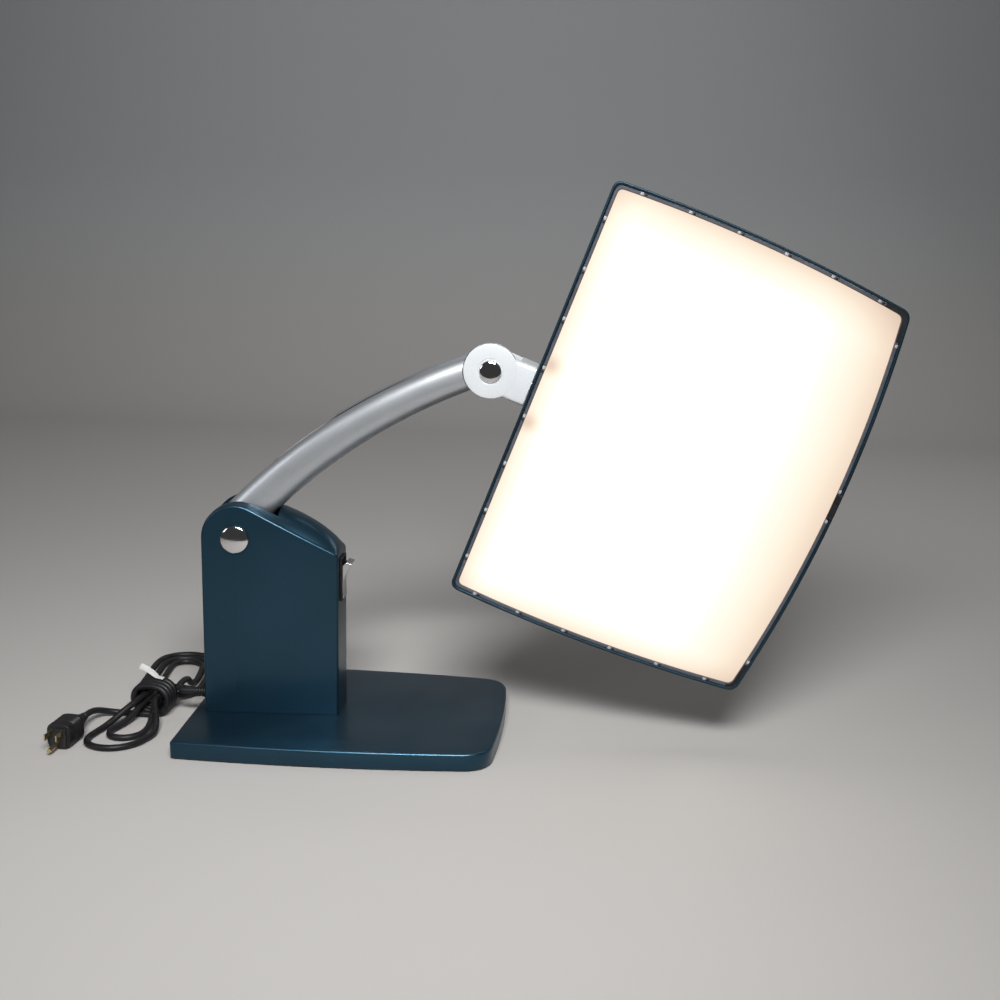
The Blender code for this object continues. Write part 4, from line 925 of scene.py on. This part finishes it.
def bowed_outline(corners, bows, radii):
    """A closed outline of bowed edges between corners, each corner rounded."""
    centre = sum(corners, Vector((0, 0))) / len(corners)

    def length(i):
        return (corners[(i + 1) % len(corners)] - corners[i]).length

    def edge(i, share):
        first, last = corners[i], corners[(i + 1) % len(corners)]
        along = last - first
        out = Vector((along.y, -along.x)).normalized()
        if out.dot((first + last) / 2 - centre) < 0:
            out = -out
        return first + along * share + out * bows[i] * 4 * share * (1 - share)

    points = []
    for i, corner in enumerate(corners):
        before = (i - 1) % len(corners)
        start = edge(before, 1 - radii[i] / length(before))
        end = edge(i, radii[i] / length(i))
        for step in range(corner_steps + 1):
            s = step / corner_steps
            points.append(start * (1 - s) ** 2 + corner * 2 * s * (1 - s) + end * s * s)
        first_share = radii[i] / length(i)
        last_share = 1 - radii[(i + 1) % len(corners)] / length(i)
        for step in range(1, edge_steps):
            points.append(edge(i, blend(first_share, last_share, step / edge_steps)))
    return points


def moved_corners(corners, insets):
    """The corners of the outline whose straight edges have moved inwards, each by its inset."""
    centre = sum(corners, Vector((0, 0))) / len(corners)
    lines = []
    for i, first in enumerate(corners):
        along = (corners[(i + 1) % len(corners)] - first).normalized()
        inward = Vector((-along.y, along.x))
        if inward.dot(centre - first) < 0:
            inward = -inward
        lines.append((first + inward * insets[i], along))
    moved = []
    for i, (other, across) in enumerate(lines):
        point, along = lines[i - 1]
        delta = other - point
        run = (delta.x * across.y - delta.y * across.x) / (along.x * across.y - along.y * across.x)
        moved.append(point + along * run)
    return moved


def fillet_stations(radius):
    """(inset, rise) pairs of a quarter round."""
    turns = [pi / 2 * step / fillet_steps for step in range(fillet_steps + 1)]
    return [(radius * (1 - cos(turn)), radius * sin(turn)) for turn in turns]


def plate_corners(left, right, left_height, right_height):
    """The corners of a plate that narrows to the right, round from the lower left one."""
    low = [Vector((left, -left_height / 2)), Vector((right, -right_height / 2))]
    return low + [Vector((right, right_height / 2)), Vector((left, left_height / 2))]


# Base cover

base_lip = 0.0005


def base_ring(inset, z):
    half = base_length / 2
    corners = plate_corners(-half, half - base_front_bow, base_rear_width, base_front_width)
    bows = [base_side_bow, base_front_bow, base_side_bow, 0]
    radii = [base_rear_corner, base_front_corner, base_front_corner, base_rear_corner]
    radii = [max(radius - inset, base_rear_corner / 4) for radius in radii]
    outline = bowed_outline(moved_corners(corners, [inset] * len(corners)), bows, radii)
    return [(point.x, point.y, z) for point in outline]


def make_base_cover():
    straight_top_z = base_top_z - base_edge_fillet
    rings = [base_ring(base_wall, base_top_z - base_wall), base_ring(base_wall, base_rim_z)]
    rings += [base_ring(base_lip, base_rim_z), base_ring(0, base_rim_z + base_lip)]
    rings += [base_ring(inset, straight_top_z + rise) for inset, rise in fillet_stations(base_edge_fillet)]
    fit(loft("fine_base_cover", rings, 50), "blue_paint", "stand", "base_cover")


# Column shells

slope_out = Vector((sin(column_slope), cos(column_slope)))
slope_reach = pivot.xz.dot(slope_out) + column_top_radius
slope_steps = 24
side_rings = (0.15, 0.4, 0.65, 0.85)
crown_rings = (0.97, 0.93, 0.88, 0.80, 0.70, 0.60, 0.45, 0.30, 0.15, 0)
crown_power = 2.5
hollow_drop = 0.004
cut_reach = 0.5
switch_hole_depth = 0.007
screw_well_radius = 0.0028
screw_well_length = 0.020


def column_half(x):
    """The column's half width at x: even behind the pivot, drawn in towards the front."""
    share = max(0, (x - pivot.x) / (column_front_x - pivot.x))
    return column_half_width - column_front_taper * share**2


def crown_share(share):
    """How much of the crown's lift is there, from the front corner to the round top."""
    return sin(pi * blend(crown_lead, 1 - crown_lead, share**crown_skew))


def column_profile(inset, bottom_z):
    """The side outline as (x, z, crown share) points, moved inwards by inset."""
    corner_x = column_front_x - column_front_corner
    corner_z = (slope_reach - column_front_corner - corner_x * slope_out.x) / slope_out.y
    radius = max(column_front_corner - inset, column_front_corner / 8)
    reach = column_front_corner - inset - radius
    slope_angle = pi / 2 - column_slope
    corner = Vector((corner_x + reach, corner_z + reach * (1 - slope_out.x) / slope_out.y))
    points = [(corner.x + radius, bottom_z, 0)]
    for step in range(corner_steps):
        share = step / (corner_steps - 1)
        turn = slope_angle * share
        points.append((corner.x + radius * cos(turn), corner.y + radius * sin(turn), crown_share(0) * share))
    start = corner + slope_out * radius
    end = pivot.xz + slope_out * (column_top_radius - inset)
    for step in range(1, slope_steps):
        share = step / slope_steps
        point = start.lerp(end, share)
        points.append((point.x, point.y, crown_share(share)))
    for step in range(edge_steps + 1):
        share = step / edge_steps
        turn = blend(slope_angle, pi, share)
        reach = column_top_radius - inset
        x, z = pivot.x + reach * cos(turn), pivot.z + reach * sin(turn)
        points.append((x, z, crown_share(0) * (1 - share) ** 2))
    points.append((pivot.x - column_top_radius + inset, bottom_z, 0))
    return points


def column_hull(name, inset, bottom_z):
    """The column's solid, moved inwards by inset: its sides filleted, its top crowned between them."""
    fillet = max(column_fillet - inset, column_fillet / 4)
    around = column_profile(inset + fillet, bottom_z)
    middle = Vector(((pivot.x + column_front_x) / 2, (bottom_z + pivot.z) / 2))
    half = []
    for shrink in side_rings:
        points = [middle.lerp(Vector((x, z)), shrink) for x, z, _ in around]
        half.append([(point.x, inset - column_half(point.x), point.y) for point in points])
    for rise, narrowing in fillet_stations(fillet):
        profile = column_profile(inset + fillet - narrowing, bottom_z)
        half.append([(x, inset + rise - column_half(x), z) for x, z, _ in profile])
    for share in crown_rings:
        ring = []
        for x, z, crown in column_profile(inset, bottom_z):
            flat = column_half(x) - inset - fillet
            ring.append((x, -share * flat, z + column_crown * crown * (1 - share**crown_power)))
        half.append(ring)
    mirrored = [[(x, -y, z) for x, y, z in ring] for ring in half[-2::-1]]
    return loft(name, half + mirrored)


def make_column_shell(name, in_front, replaced):
    bottom_z = base_top_z + gap
    reach = cut_reach
    part_x = pivot.x + column_seam / 2 if in_front else pivot.x - column_seam / 2
    low_x, high_x = (-reach, part_x) if in_front else (part_x, reach)
    slot_low = (-reach, -slot_half_width, pivot.z + slot_rear_drop)
    tools = [
        block("parting", (low_x, -reach, -reach), (high_x, reach, reach)),
        column_hull("hollow", column_wall, bottom_z - hollow_drop),
        block("slot", slot_low, (slot_front_x, slot_half_width, reach)),
    ]
    if in_front:
        hole = Vector((switch_hole_depth, switch_half_width + gap, switch_half_height + gap))
        middle = Vector((column_front_x, 0, switch_centre_z))
        tools.append(block("switch_hole", middle - hole, middle + hole))
    else:
        for y in (-column_boss_y, column_boss_y):
            profile = [(0, 0), (screw_well_radius, 0), (screw_well_radius, screw_well_length)]
            profile.append((0, screw_well_length))
            place = (column_rear_x + column_screw_seat, y, column_boss_z)
            tools.append(turned("screw_well", profile, place, (-1, 0, 0), 32))
    shell = cut_away(column_hull(name, 0, bottom_z), name, tools)
    fit(shell, "blue_paint", "stand", replaced)


def make_column_shells():
    make_column_shell("fine_column_front", True, "column_front_shell")
    make_column_shell("fine_column_rear", False, "column_rear_shell")


# Arm shells, built of lines that run along the arm

arm_elbow = Vector((elbow.x - pivot.x, elbow.z - pivot.z))
arm_chord = arm_elbow.length
pivot_reach = arm_radius - arm_root_rise
elbow_reach = arm_radius - arm_elbow_rise
arm_foot = (pivot_reach**2 - elbow_reach**2 + arm_chord**2) / (2 * arm_chord)
arm_drop = sqrt(pivot_reach**2 - arm_foot**2)
arm_below = Vector((arm_elbow.y, -arm_elbow.x))
arm_centre = arm_elbow * (arm_foot / arm_chord) + arm_below * (arm_drop / arm_chord)
arm_turn = (-arm_centre).angle(arm_elbow - arm_centre)
arm_seam_turn = 0.012
arm_half_points = 40
arm_steps = 48
halvings = 30


def arm_point(share, turn, inset):
    """A point of the arm's skin, from the pivot: at a share of its arc and a turn round its section."""
    out = (-arm_centre).normalized()
    out.rotate(Matrix.Rotation(-arm_turn * share, 2))
    depth = blend(arm_root_depth, arm_elbow_depth, share) / 2 - inset
    width = blend(arm_root_width, arm_elbow_width, share) / 2 - inset
    c, s = cos(turn), sin(turn)
    rise = depth * copysign(abs(c) ** (2 / arm_section_power), c)
    y = width * copysign(abs(s) ** (2 / arm_section_power), s)
    place = arm_centre + out * (arm_radius + rise)
    return Vector((place.x, y, place.y))


def met_share(turn, inset, centre, radius, low, high):
    """The share of the arc, between low and high, at which a line along the shell meets an upright
    round cut. A line that never meets the cut gives high: the lines along the arm's outer side pass
    clear of the drum, so they start in the middle of the arc and leave that side open below it."""
    inside = (arm_point(low, turn, inset).xz - centre).length < radius
    for _ in range(halvings):
        middle = (low + high) / 2
        near = (arm_point(middle, turn, inset).xz - centre).length < radius
        low, high = (middle, high) if near == inside else (low, middle)
    return (low + high) / 2


def make_arm_shell(name, side, cheek_radius):
    lines = []
    for inset in (0, arm_wall):
        skin = []
        for i in range(arm_half_points + 1):
            turn = side * blend(arm_seam_turn, pi - arm_seam_turn, i / arm_half_points)
            start = met_share(turn, inset, Vector((0, 0)), drum_radius + drum_clearance, 0, 0.5)
            end = met_share(turn, inset, arm_elbow, cheek_radius + fork_arm_clearance, 0.5, 1)
            shares = [blend(start, end, step / arm_steps) for step in range(arm_steps + 1)]
            skin.append([arm_point(share, turn, inset) + pivot for share in shares])
        lines += skin if inset == 0 else skin[::-1]
    for place in sum(lines, []):
        place.y = side * max(side * place.y, gap / 2)
    fit(loft("fine_" + name, list(zip(*lines)), 40), "silver_paint", "arm", name)


def make_arm_shells():
    make_arm_shell("arm_shell_near", -1, fork_radius)
    make_arm_shell("arm_shell_far", 1, fork_far_radius)


# Fork and neck, and the domes over both axles

neck_side_gap = 0.00005
neck_end_edge = 0.0005
neck_round_steps = 8
web_inset = 0.0001
web_overlap = 0.002


def cheek(name, radius, inner_y, outer_y):
    """One cheek of the fork: a round plate with a rounded rim and a shallow step round its cap."""
    depth = abs(outer_y - inner_y)
    profile = [(0, 0), (radius, 0)]
    profile += [(radius - inset, depth - fork_edge + rise) for inset, rise in fillet_stations(fork_edge)]
    seat = depth - cap_seat_depth
    profile += [(cap_seat_radius, depth), (cap_seat_radius - cap_seat_edge, seat), (0, seat)]
    towards = (0, copysign(1, outer_y), 0)
    return turned(name, profile, in_head(0, inner_y, 0), towards, 96)


def neck_ring(u, inset, low=-1, high=1):
    """The neck's section at u, with rounded corners, held between two y values."""
    half, reach = fork_half_width - neck_side_gap - inset, neck_depth / 2 - inset
    radius = neck_corner - inset / 2
    ring = []
    for corner, (side, way) in enumerate(((1, 1), (-1, 1), (-1, -1), (1, -1))):
        for step in range(neck_round_steps + 1):
            turn = pi / 2 * (corner + step / neck_round_steps)
            y, w = side * (half - radius) + radius * cos(turn), way * (reach - radius) + radius * sin(turn)
            ring.append(in_head(u, min(max(y, low), high), w))
    return ring


def make_fork():
    inner_y = knuckle_half_width + washer_thickness + 2 * gap
    neck_end = head_left - swivel_clearance
    body = ((neck_body_start, 0.0), (neck_end - neck_end_edge, 0.0), (neck_end, neck_end_edge))
    web = (0.0, neck_body_start + web_overlap)
    pieces = [
        cheek("fork_near", fork_radius, -inner_y, -fork_half_width),
        cheek("fork_far", fork_far_radius, inner_y, fork_half_width),
        loft("neck_body", [neck_ring(u, inset) for u, inset in body]),
        loft("near_web", [neck_ring(u, web_inset, high=-inner_y) for u in web]),
        loft("far_web", [neck_ring(u, web_inset, low=inner_y) for u in web]),
    ]
    fit(joined("fine_neck_fork", pieces), "pale_silver", "neck", "neck_fork")


def cap_profile(radius, rise):
    """A polished dome with a small round rim and a groove where it meets its seat."""
    rim, edge, bevel, foot, groove, steps = rise * 0.35, 0.0003, 0.0002, 0.0004, 0.0006, 16
    profile = [(0, 0), (radius - groove, 0), (radius - groove, foot), (radius, foot + edge)]
    profile += [(radius, rim - bevel), (radius - edge, rim)]
    for step in range(1, steps):
        turn = pi / 2 * step / steps
        profile.append(((radius - edge) * cos(turn), rim + (rise - rim) * sin(turn)))
    return profile + [(0, rise)]


def make_caps():
    for name, side in (("near", -1), ("far", 1)):
        profile = cap_profile(column_cap_radius, column_cap_rise)
        place = (pivot.x, side * (column_half_width + gap), pivot.z)
        cap = turned("column_dome_" + name, profile, place, (0, side, 0), 72, 60)
        fit(cap, "chrome", "stand", "column_cap_" + name)
        profile = cap_profile(elbow_cap_radius, elbow_cap_rise)
        place = in_head(0, side * (fork_half_width + gap), 0)
        cap = turned("elbow_dome_" + name, profile, place, (0, side, 0), 72, 60)
        fit(cap, "chrome", "neck", "elbow_cap_" + name)


# Head shell, frame, sheet, latch and corner clips

head_lip = 0.0007
head_lip_start = 0.3
head_corner_give = 0.6
frame_lip = 0.0005
sheet_lip = 0.0004
latch_outer = 0.0008
latch_inner = 0.0070
latch_rise = 0.0011
latch_edge = 0.0003
latch_groove = 0.0003
latch_end_drop = 0.0005
latch_end_run = 0.0010
latch_steps = 24
clip_overlap = 0.0012
clip_gap = 0.0001


def head_ring(y, inset, left_inset=None):
    """The head's outline at y, moved inwards by inset. It runs from the lower neck corner along the
    lower side, the free side and the upper side."""
    corners = plate_corners(head_left, head_left + head_straight, head_left_height, head_right_height)
    left_inset = inset if left_inset is None else left_inset
    corners = moved_corners(corners, [inset, inset, inset, left_inset])
    bows = [head_side_bow, head_right_bow, head_side_bow, 0]
    radius = max(head_corner - min(inset, left_inset) * head_corner_give, head_corner / 4)
    outline = bowed_outline(corners, bows, [radius] * len(corners))
    return [in_head(point.x, y, point.y) for point in outline]


def head_rings(wall, front):
    """Rings of the back shell, from the given front rings to its rounded back."""
    back_y = rim_y + head_depth
    fillet_y = back_y - head_back_fillet
    rings = [*front, head_ring(rim_y + head_even_depth, wall)]
    for inset, rise in fillet_stations(head_back_fillet - wall):
        rings.append(head_ring(fillet_y + rise, wall + head_draft + inset, wall + inset))
    return rings


def head_loops(*section):
    """The head's outline at each (y, inset) pair."""
    return [head_ring(y, inset) for y, inset in section]


def make_head_shell():
    lip, start = head_lip, head_lip * head_lip_start
    inner = head_rings(head_wall, head_loops((rim_y, head_wall - lip), (rim_y + lip, head_wall)))
    rim = head_loops((rim_y, lip), (rim_y + start, start), (rim_y + lip, 0))
    shell = loft("fine_head_shell", inner[::-1] + head_rings(0, rim), 50)
    # The head shell takes the darker copy of the blue paint, which is painted shade.
    fit(shell, "blue_paint", "head", "head_back_shell", look=shaded_head_paint)


def make_frame():
    front = rim_y + frame_recess
    ledge = rim_y + diffuser_recess + diffuser_thickness + gap
    back = ledge + frame_ledge_depth
    outer = head_wall + gap
    inner = outer + frame_width
    window = inner + frame_ledge
    lip = frame_lip
    loops = head_loops(
        (front, outer + lip), (front + lip, outer), (back, outer), (back, window),
        (ledge, window), (ledge, inner), (front + lip, inner), (front, inner - lip),
    )
    hoop = loft("fine_diffuser_frame", loops, endless=True)
    fit(hoop, "frame_grey", "head", "diffuser_frame")


def make_sheet():
    inset = head_wall + gap + frame_width + gap
    front = rim_y + diffuser_recess
    back = front + diffuser_thickness
    loops = head_loops((front, inset + sheet_lip), (front + sheet_lip, inset), (back, inset))
    fit(loft("fine_diffuser", loops), "opal", "head", "diffuser")


def make_latch():
    """The black latch over the rim in the middle of the free side, with two shallow finger grooves."""
    rings = []
    for step in range(latch_steps + 1):
        share = step / latch_steps
        w = latch_shift + latch_length * (share - 0.5)
        groove = latch_groove * (sin(4 * pi * share) > 0.5)
        end = min(share, 1 - share) * latch_length
        rise = latch_rise - groove - latch_end_drop * max(0, 1 - end / latch_end_run)
        place = head_left + head_straight + head_right_bow * (1 - (2 * w / head_right_height) ** 2)
        low, outer, inner = rise - latch_edge, latch_outer + latch_edge, latch_inner - latch_edge
        section = ((latch_outer, 0), (latch_outer, low), (outer, rise), (inner, rise))
        section += ((latch_inner, low), (latch_inner, 0))
        rings.append([in_head(place - inset, rim_y - clip_gap - out, w) for inset, out in section])
    fit(loft("fine_latch", rings), "black_plastic", "head", "frame_latch")


def edge_strip(name, first, last, outer, inner, front, back):
    """A strip along the head's outline, over the outline's points from first to last."""
    loops = head_loops((front, outer), (front, inner), (back, inner), (back, outer))
    return loft(name, [[loop[i % len(loop)] for loop in loops] for i in range(first, last + 1)])


def make_clips():
    """Black clips round both free corners."""
    side = corner_steps + edge_steps
    band = head_wall - clip_overlap, head_wall + frame_width, rim_y + clip_gap, rim_y + frame_recess
    lower = edge_strip("lower_clip", side, side + corner_steps + 1, *band)
    upper = edge_strip("upper_clip", 2 * side - 1, 2 * side + corner_steps + 1, *band)
    fit(joined("corner_clips", [lower, upper]), "black_plastic", "head")


# What repeats: one piece set on many places by a node tree

upper_tab_runs = (0.029, 0.079, 0.130, 0.180, 0.230, 0.281)
lower_tab_runs = (0.027, 0.075, 0.126, 0.177, 0.228, 0.280)
neck_tabs = 8
neck_tab_run = 0.038
neck_tab_pitch = 0.0525
latch_tab_gap = 0.003
corner_tab_run = 0.176
tab_size = (0.0034, 0.0027, 0.0003)
tab_edge = 0.0003
pin_radius = 0.0013
pin_shift = 0.0042
pin_height = 0.0004
screw_shank_radius = 0.0014
screw_head_radius = 0.0025
screw_head_height = 0.0013
recess_half_length = 0.0015
recess_half_width = 0.0003
recess_floor = 0.0006
recess_top = 0.003


def repeat_tree():
    """Sets the piece on every point, turned by the point's turn and by a random twist on its axis."""
    tree = bpy.data.node_groups.new("set_on_points", "GeometryNodeTree")
    names = {}
    for name, way, kind in (
        ("Points", "INPUT", "Geometry"),
        ("Piece", "INPUT", "Object"),
        ("Look", "INPUT", "Material"),
        ("Twist", "INPUT", "Float"),
        ("Seed", "INPUT", "Int"),
        ("Pieces", "OUTPUT", "Geometry"),
    ):
        names[name] = tree.interface.new_socket(name, in_out=way, socket_type="NodeSocket" + kind).identifier
    build = Tree(tree)
    given = build.add("NodeGroupInput")
    piece = build.add("GeometryNodeObjectInfo", None, {"Object": given["Piece"]})["Geometry"]
    turn = build.add("GeometryNodeInputNamedAttribute", {"data_type": "FLOAT_VECTOR"}, {"Name": "turn"})[0]
    points = {"Points": given["Points"], "Instance": piece, "Rotation": turn}
    placed = build.add("GeometryNodeInstanceOnPoints", None, points)["Instances"]
    least = given["Twist"] * -1.0
    sockets = {2: least, 3: given["Twist"], "Seed": given["Seed"]}
    twist = build.add("FunctionNodeRandomValue", {"data_type": "FLOAT"}, sockets)[1]
    about = build.add("ShaderNodeCombineXYZ", None, {"Z": twist})[0]
    sockets = {"Instances": placed, "Rotation": about}
    twisted = build.add("GeometryNodeRotateInstances", None, sockets)["Instances"]
    real = build.add("GeometryNodeRealizeInstances", None, {"Geometry": twisted})["Geometry"]
    sockets = {"Geometry": real, "Material": given["Look"]}
    done = build.add("GeometryNodeSetMaterial", None, sockets)["Geometry"]
    build.add("NodeGroupOutput", None, {"Pieces": done})
    return tree, names


def repeated(name, piece, places, slot, body, *replaced, look=None, twist=0.0):
    """Copies of one piece at (place, turn) pairs. The piece is drawn with its top along +Z."""
    mesh = bpy.data.meshes.new(name + "_points")
    mesh.from_pydata([place for place, _ in places], [], [])
    turns = mesh.attributes.new("turn", "FLOAT_VECTOR", "POINT")
    for number, (_, turn) in enumerate(places):
        turns.data[number].vector = turn
    points = new_object(name + "_points", mesh)
    maker = points.modifiers.new("set_pieces", "NODES")
    maker.node_group = set_on_points
    given = {"Piece": piece, "Look": look or finishes[slot], "Twist": twist, "Seed": 7}
    for key, value in given.items():
        maker[socket_names[key]] = value
    made = baked(points, name)
    bpy.data.objects.remove(piece)
    fit(made, slot, body, *replaced, look=look)


def rounded_block(name, size, edge):
    """A small block with rounded upper edges, its foot at z 0."""
    x, y, z = (part / 2 for part in size)
    rings = []
    for inset, rise in ((0, 0), (0, 2 * z - edge), (edge * 0.3, 2 * z - edge * 0.3), (edge, 2 * z)):
        a, b = x - inset, y - inset
        cut = min(edge, a / 3, b / 3)
        ring = [(a, -b + cut), (a, b - cut), (a - cut, b), (-a + cut, b), (-a, b - cut), (-a, -b + cut)]
        ring += [(-a + cut, -b), (a - cut, -b)]
        rings.append([(p, q, rise) for p, q in ring])
    return loft(name, rings)


def frame_places(starts, shift=0.0):
    """(place, turn) pairs on the frame, each from an edge and a run along it: the upper and the lower
    edge from the neck side, the neck side from above and the free side from its middle."""
    middle = head_wall + gap + frame_width / 2
    places = []
    for edge, run in starts:
        run += shift
        share = run / head_straight
        bow = head_side_bow * 4 * share * (1 - share)
        half = blend(head_left_height, head_right_height, share) / 2 + bow
        slope = (head_right_height - head_left_height) / 2 / head_straight
        slope += head_side_bow * 4 * (1 - 2 * share) / head_straight
        if edge == "upper":
            u, w, turn = head_left + run, half - middle, slope
        elif edge == "lower":
            u, w, turn = head_left + run, -half + middle, -slope
        elif edge == "neck":
            u, w, turn = head_left + middle, head_left_height / 2 - run, pi / 2
        else:
            share = 0.5 + run / head_right_height
            bow = head_right_bow * 4 * share * (1 - share)
            slope = head_right_bow * 4 * (1 - 2 * share) / head_right_height
            u, w, turn = head_left + head_straight + bow - middle, run, pi / 2 - slope
        way = Matrix.Rotation(neck_droop, 3, "Y") @ Matrix.Rotation(-turn, 3, "Y")
        way = way @ Matrix.Rotation(pi / 2, 3, "X")
        places.append((in_head(u, rim_y + frame_recess, w), way.to_euler()))
    return places


def make_tabs():
    """Small pale tabs that hold the sheet, with a dark pin beside each but those of the free side."""
    starts = [("upper", run) for run in upper_tab_runs] + [("lower", run) for run in lower_tab_runs]
    starts += [("neck", neck_tab_run + neck_tab_pitch * number) for number in range(neck_tabs)]
    ends = [("free", latch_shift + side * (latch_length / 2 + latch_tab_gap)) for side in (-1, 1)]
    ends += [("free", side * corner_tab_run) for side in (-1, 1)]
    tab, places = rounded_block("tab", tab_size, tab_edge), frame_places(starts + ends)
    repeated("frame_tabs", tab, places, "white_plastic", "head", look=tab_plastic)
    profile = [(0, 0), (pin_radius, 0), (pin_radius, pin_height / 2), (0.0009, 0.00035), (0, pin_height)]
    pin = turned("pin", profile, (0, 0, 0), (0, 0, 1), 20)
    repeated("frame_pins", pin, frame_places(starts, pin_shift), "black_plastic", "head")


def make_screws():
    """Cross-headed screws under the base and behind the column."""
    shank, wide, top = screw_shank_radius, screw_head_radius, screw_head_height
    profile = [
        (0, -0.0060), (0.0010, -0.0055), (shank, -0.0046), (shank, 0), (wide, 0), (wide, 0.0005),
        (0.0023, 0.0009), (0.0018, 0.0012), (0.0010, top), (0, top),
    ]
    halves = (recess_half_length, recess_half_width)
    tools = [block("slot", (-x, -y, recess_floor), (x, y, recess_top)) for x, y in (halves, halves[::-1])]
    screw = cut_away(turned("screw", profile, (0, 0, 0), (0, 0, 1), 40), "cross_screw", tools)
    places = []
    for side, width in ((-1, base_rear_width), (1, base_front_width)):
        x, half = side * (base_length / 2 - base_boss_inset), width / 2 - base_boss_inset
        places += [((x, y, base_screw_z), (pi, 0, 0)) for y in (-half, half)]
    seat = column_rear_x + column_screw_seat - gap
    places += [((seat, y, column_boss_z), (0, -pi / 2, 0)) for y in (-column_boss_y, column_boss_y)]
    names = [f"base_screw_{number}" for number in (1, 2, 3, 4)] + ["column_screw_1", "column_screw_2"]
    repeated("cross_screws", screw, places, "steel", "stand", *names, twist=pi)


# Other solids: joined corners, even faces and small round edges

solid_edge = 0.0003
solid_edge_segments = 3
sharp_from = 30
same_place = 0.000001
same_plane = radians(0.6)


def refined(name, slot, body):
    """A solid's own shape, with its triangles merged to faces and its edges rounded."""
    node = nodes[name]
    bm = bmesh.new()
    bm.from_mesh(node.data)
    bm.transform(node.matrix_world)
    bmesh.ops.remove_doubles(bm, verts=bm.verts, dist=same_place)
    bmesh.ops.dissolve_limit(bm, angle_limit=same_plane, verts=bm.verts, edges=bm.edges)
    obj = from_bmesh(name + "_draft", bm, sharp_from)
    rounding = obj.modifiers.new("round_edges", "BEVEL")
    rounding.width = solid_edge
    rounding.segments = solid_edge_segments
    rounding.limit_method = "ANGLE"
    rounding.angle_limit = radians(sharp_from)
    fit(evened(obj, "fine_" + name), slot, body, name)


def refine_solids():
    refined("switch_housing", "black_plastic", "stand")
    refined("switch_rocker", "chrome_plastic", "rocker")


finish_solids()
refine_solids()
set_on_points, socket_names = repeat_tree()
make_base_cover()
make_column_shells()
make_arm_shells()
make_fork()
make_caps()
make_head_shell()
make_frame()
make_sheet()
make_latch()
make_clips()
make_tabs()
make_screws()
cord = make_cord()
tie = make_tie()
plug = make_plug()
make_strain_relief()


# Studio

floor_front = -0.80
backdrop_y = 2.40
backdrop_height = 3.2
sweep_radius = 0.6
sweep_steps = 16
stage_half = 6.0
floor_colour = (0.415, 0.40, 0.385)
backdrop_colour = (0.425, 0.435, 0.445)
room_colour = (0.50, 0.51, 0.52, 1)
room_strength = 0.09


def make_camera():
    data = bpy.data.cameras.new("camera")
    data.lens = camera_lens
    camera = new_object("camera", data)
    back = camera_right.cross(camera_up)
    turn = Matrix((camera_right, camera_up, back)).transposed().to_4x4()
    camera.matrix_world = Matrix.Translation(camera_place) @ turn
    bpy.context.scene.camera = camera


def stage_finish():
    """Pale paper, a little warmer where it lies than where it stands."""
    finish = Finish("pale_paper", floor_colour, 0.85)
    cloud = finish.noise(1.2, 2)
    _, _, z = finish.axes()
    paper = finish.mix(z.rise(0, 0.6), floor_colour, backdrop_colour)
    finish.set({"Base Color": finish.mix(cloud * 0.06, paper, (0.30, 0.30, 0.30))})
    return finish.material


def make_stage():
    """A pale floor that curves up into a backdrop."""
    bend = backdrop_y - sweep_radius
    profile = [(floor_front, 0.0), (bend, 0.0)]
    for step in range(1, sweep_steps + 1):
        turn = pi / 2 * step / sweep_steps
        profile.append((bend + sweep_radius * sin(turn), sweep_radius * (1 - cos(turn))))
    profile.append((backdrop_y, backdrop_height))
    bm = bmesh.new()
    left, right = [[bm.verts.new((side * stage_half, y, z)) for y, z in profile] for side in (-1, 1)]
    for i in range(len(profile) - 1):
        bm.faces.new((left[i], right[i], right[i + 1], left[i + 1]))
    mesh = bpy.data.meshes.new("studio_sweep")
    bm.to_mesh(mesh)
    bm.free()
    mesh.shade_smooth()
    mesh.materials.append(stage_finish())
    new_object("studio_sweep", mesh)


def soft_light(name, place, target, size, power, spread, colour=(1, 1, 1)):
    data = bpy.data.lights.new(name, "AREA")
    data.shape = "RECTANGLE"
    data.size, data.size_y = size
    data.energy = power
    data.spread = spread
    data.color = colour
    light = new_object(name, data)
    way = Vector(target) - Vector(place)
    light.matrix_world = Matrix.Translation(place) @ way.to_track_quat("-Z", "Y").to_matrix().to_4x4()


def make_lights():
    soft_light("key", (0.25, -1.45, 1.40), (0.02, 0, 0.15), (0.9, 0.40), 13.5, radians(85))
    soft_light("left_fill", (-1.7, -1.2, 0.9), (-0.1, 0, 0.2), (0.5, 0.7), 5, pi, (0.94, 0.97, 1.0))
    soft_light("back_fill", (1.5, 1.4, 1.3), (0, 0, 0.25), (0.8, 0.5), 4, pi)
    soft_light("backdrop_fill", (0, 1.2, 2.3), (0, backdrop_y, 0.9), (2.4, 0.3), 13, pi)
    world = bpy.data.worlds.new("room")
    bpy.context.scene.world = world
    world.use_nodes = True
    room = Tree(world.node_tree)
    background = world.node_tree.nodes["Background"]
    room.feed(background.inputs["Color"], room_colour)
    room.feed(background.inputs["Strength"], room_strength)


make_camera()
make_stage()
make_lights()
bpy.context.scene.view_settings.view_transform = "Standard"
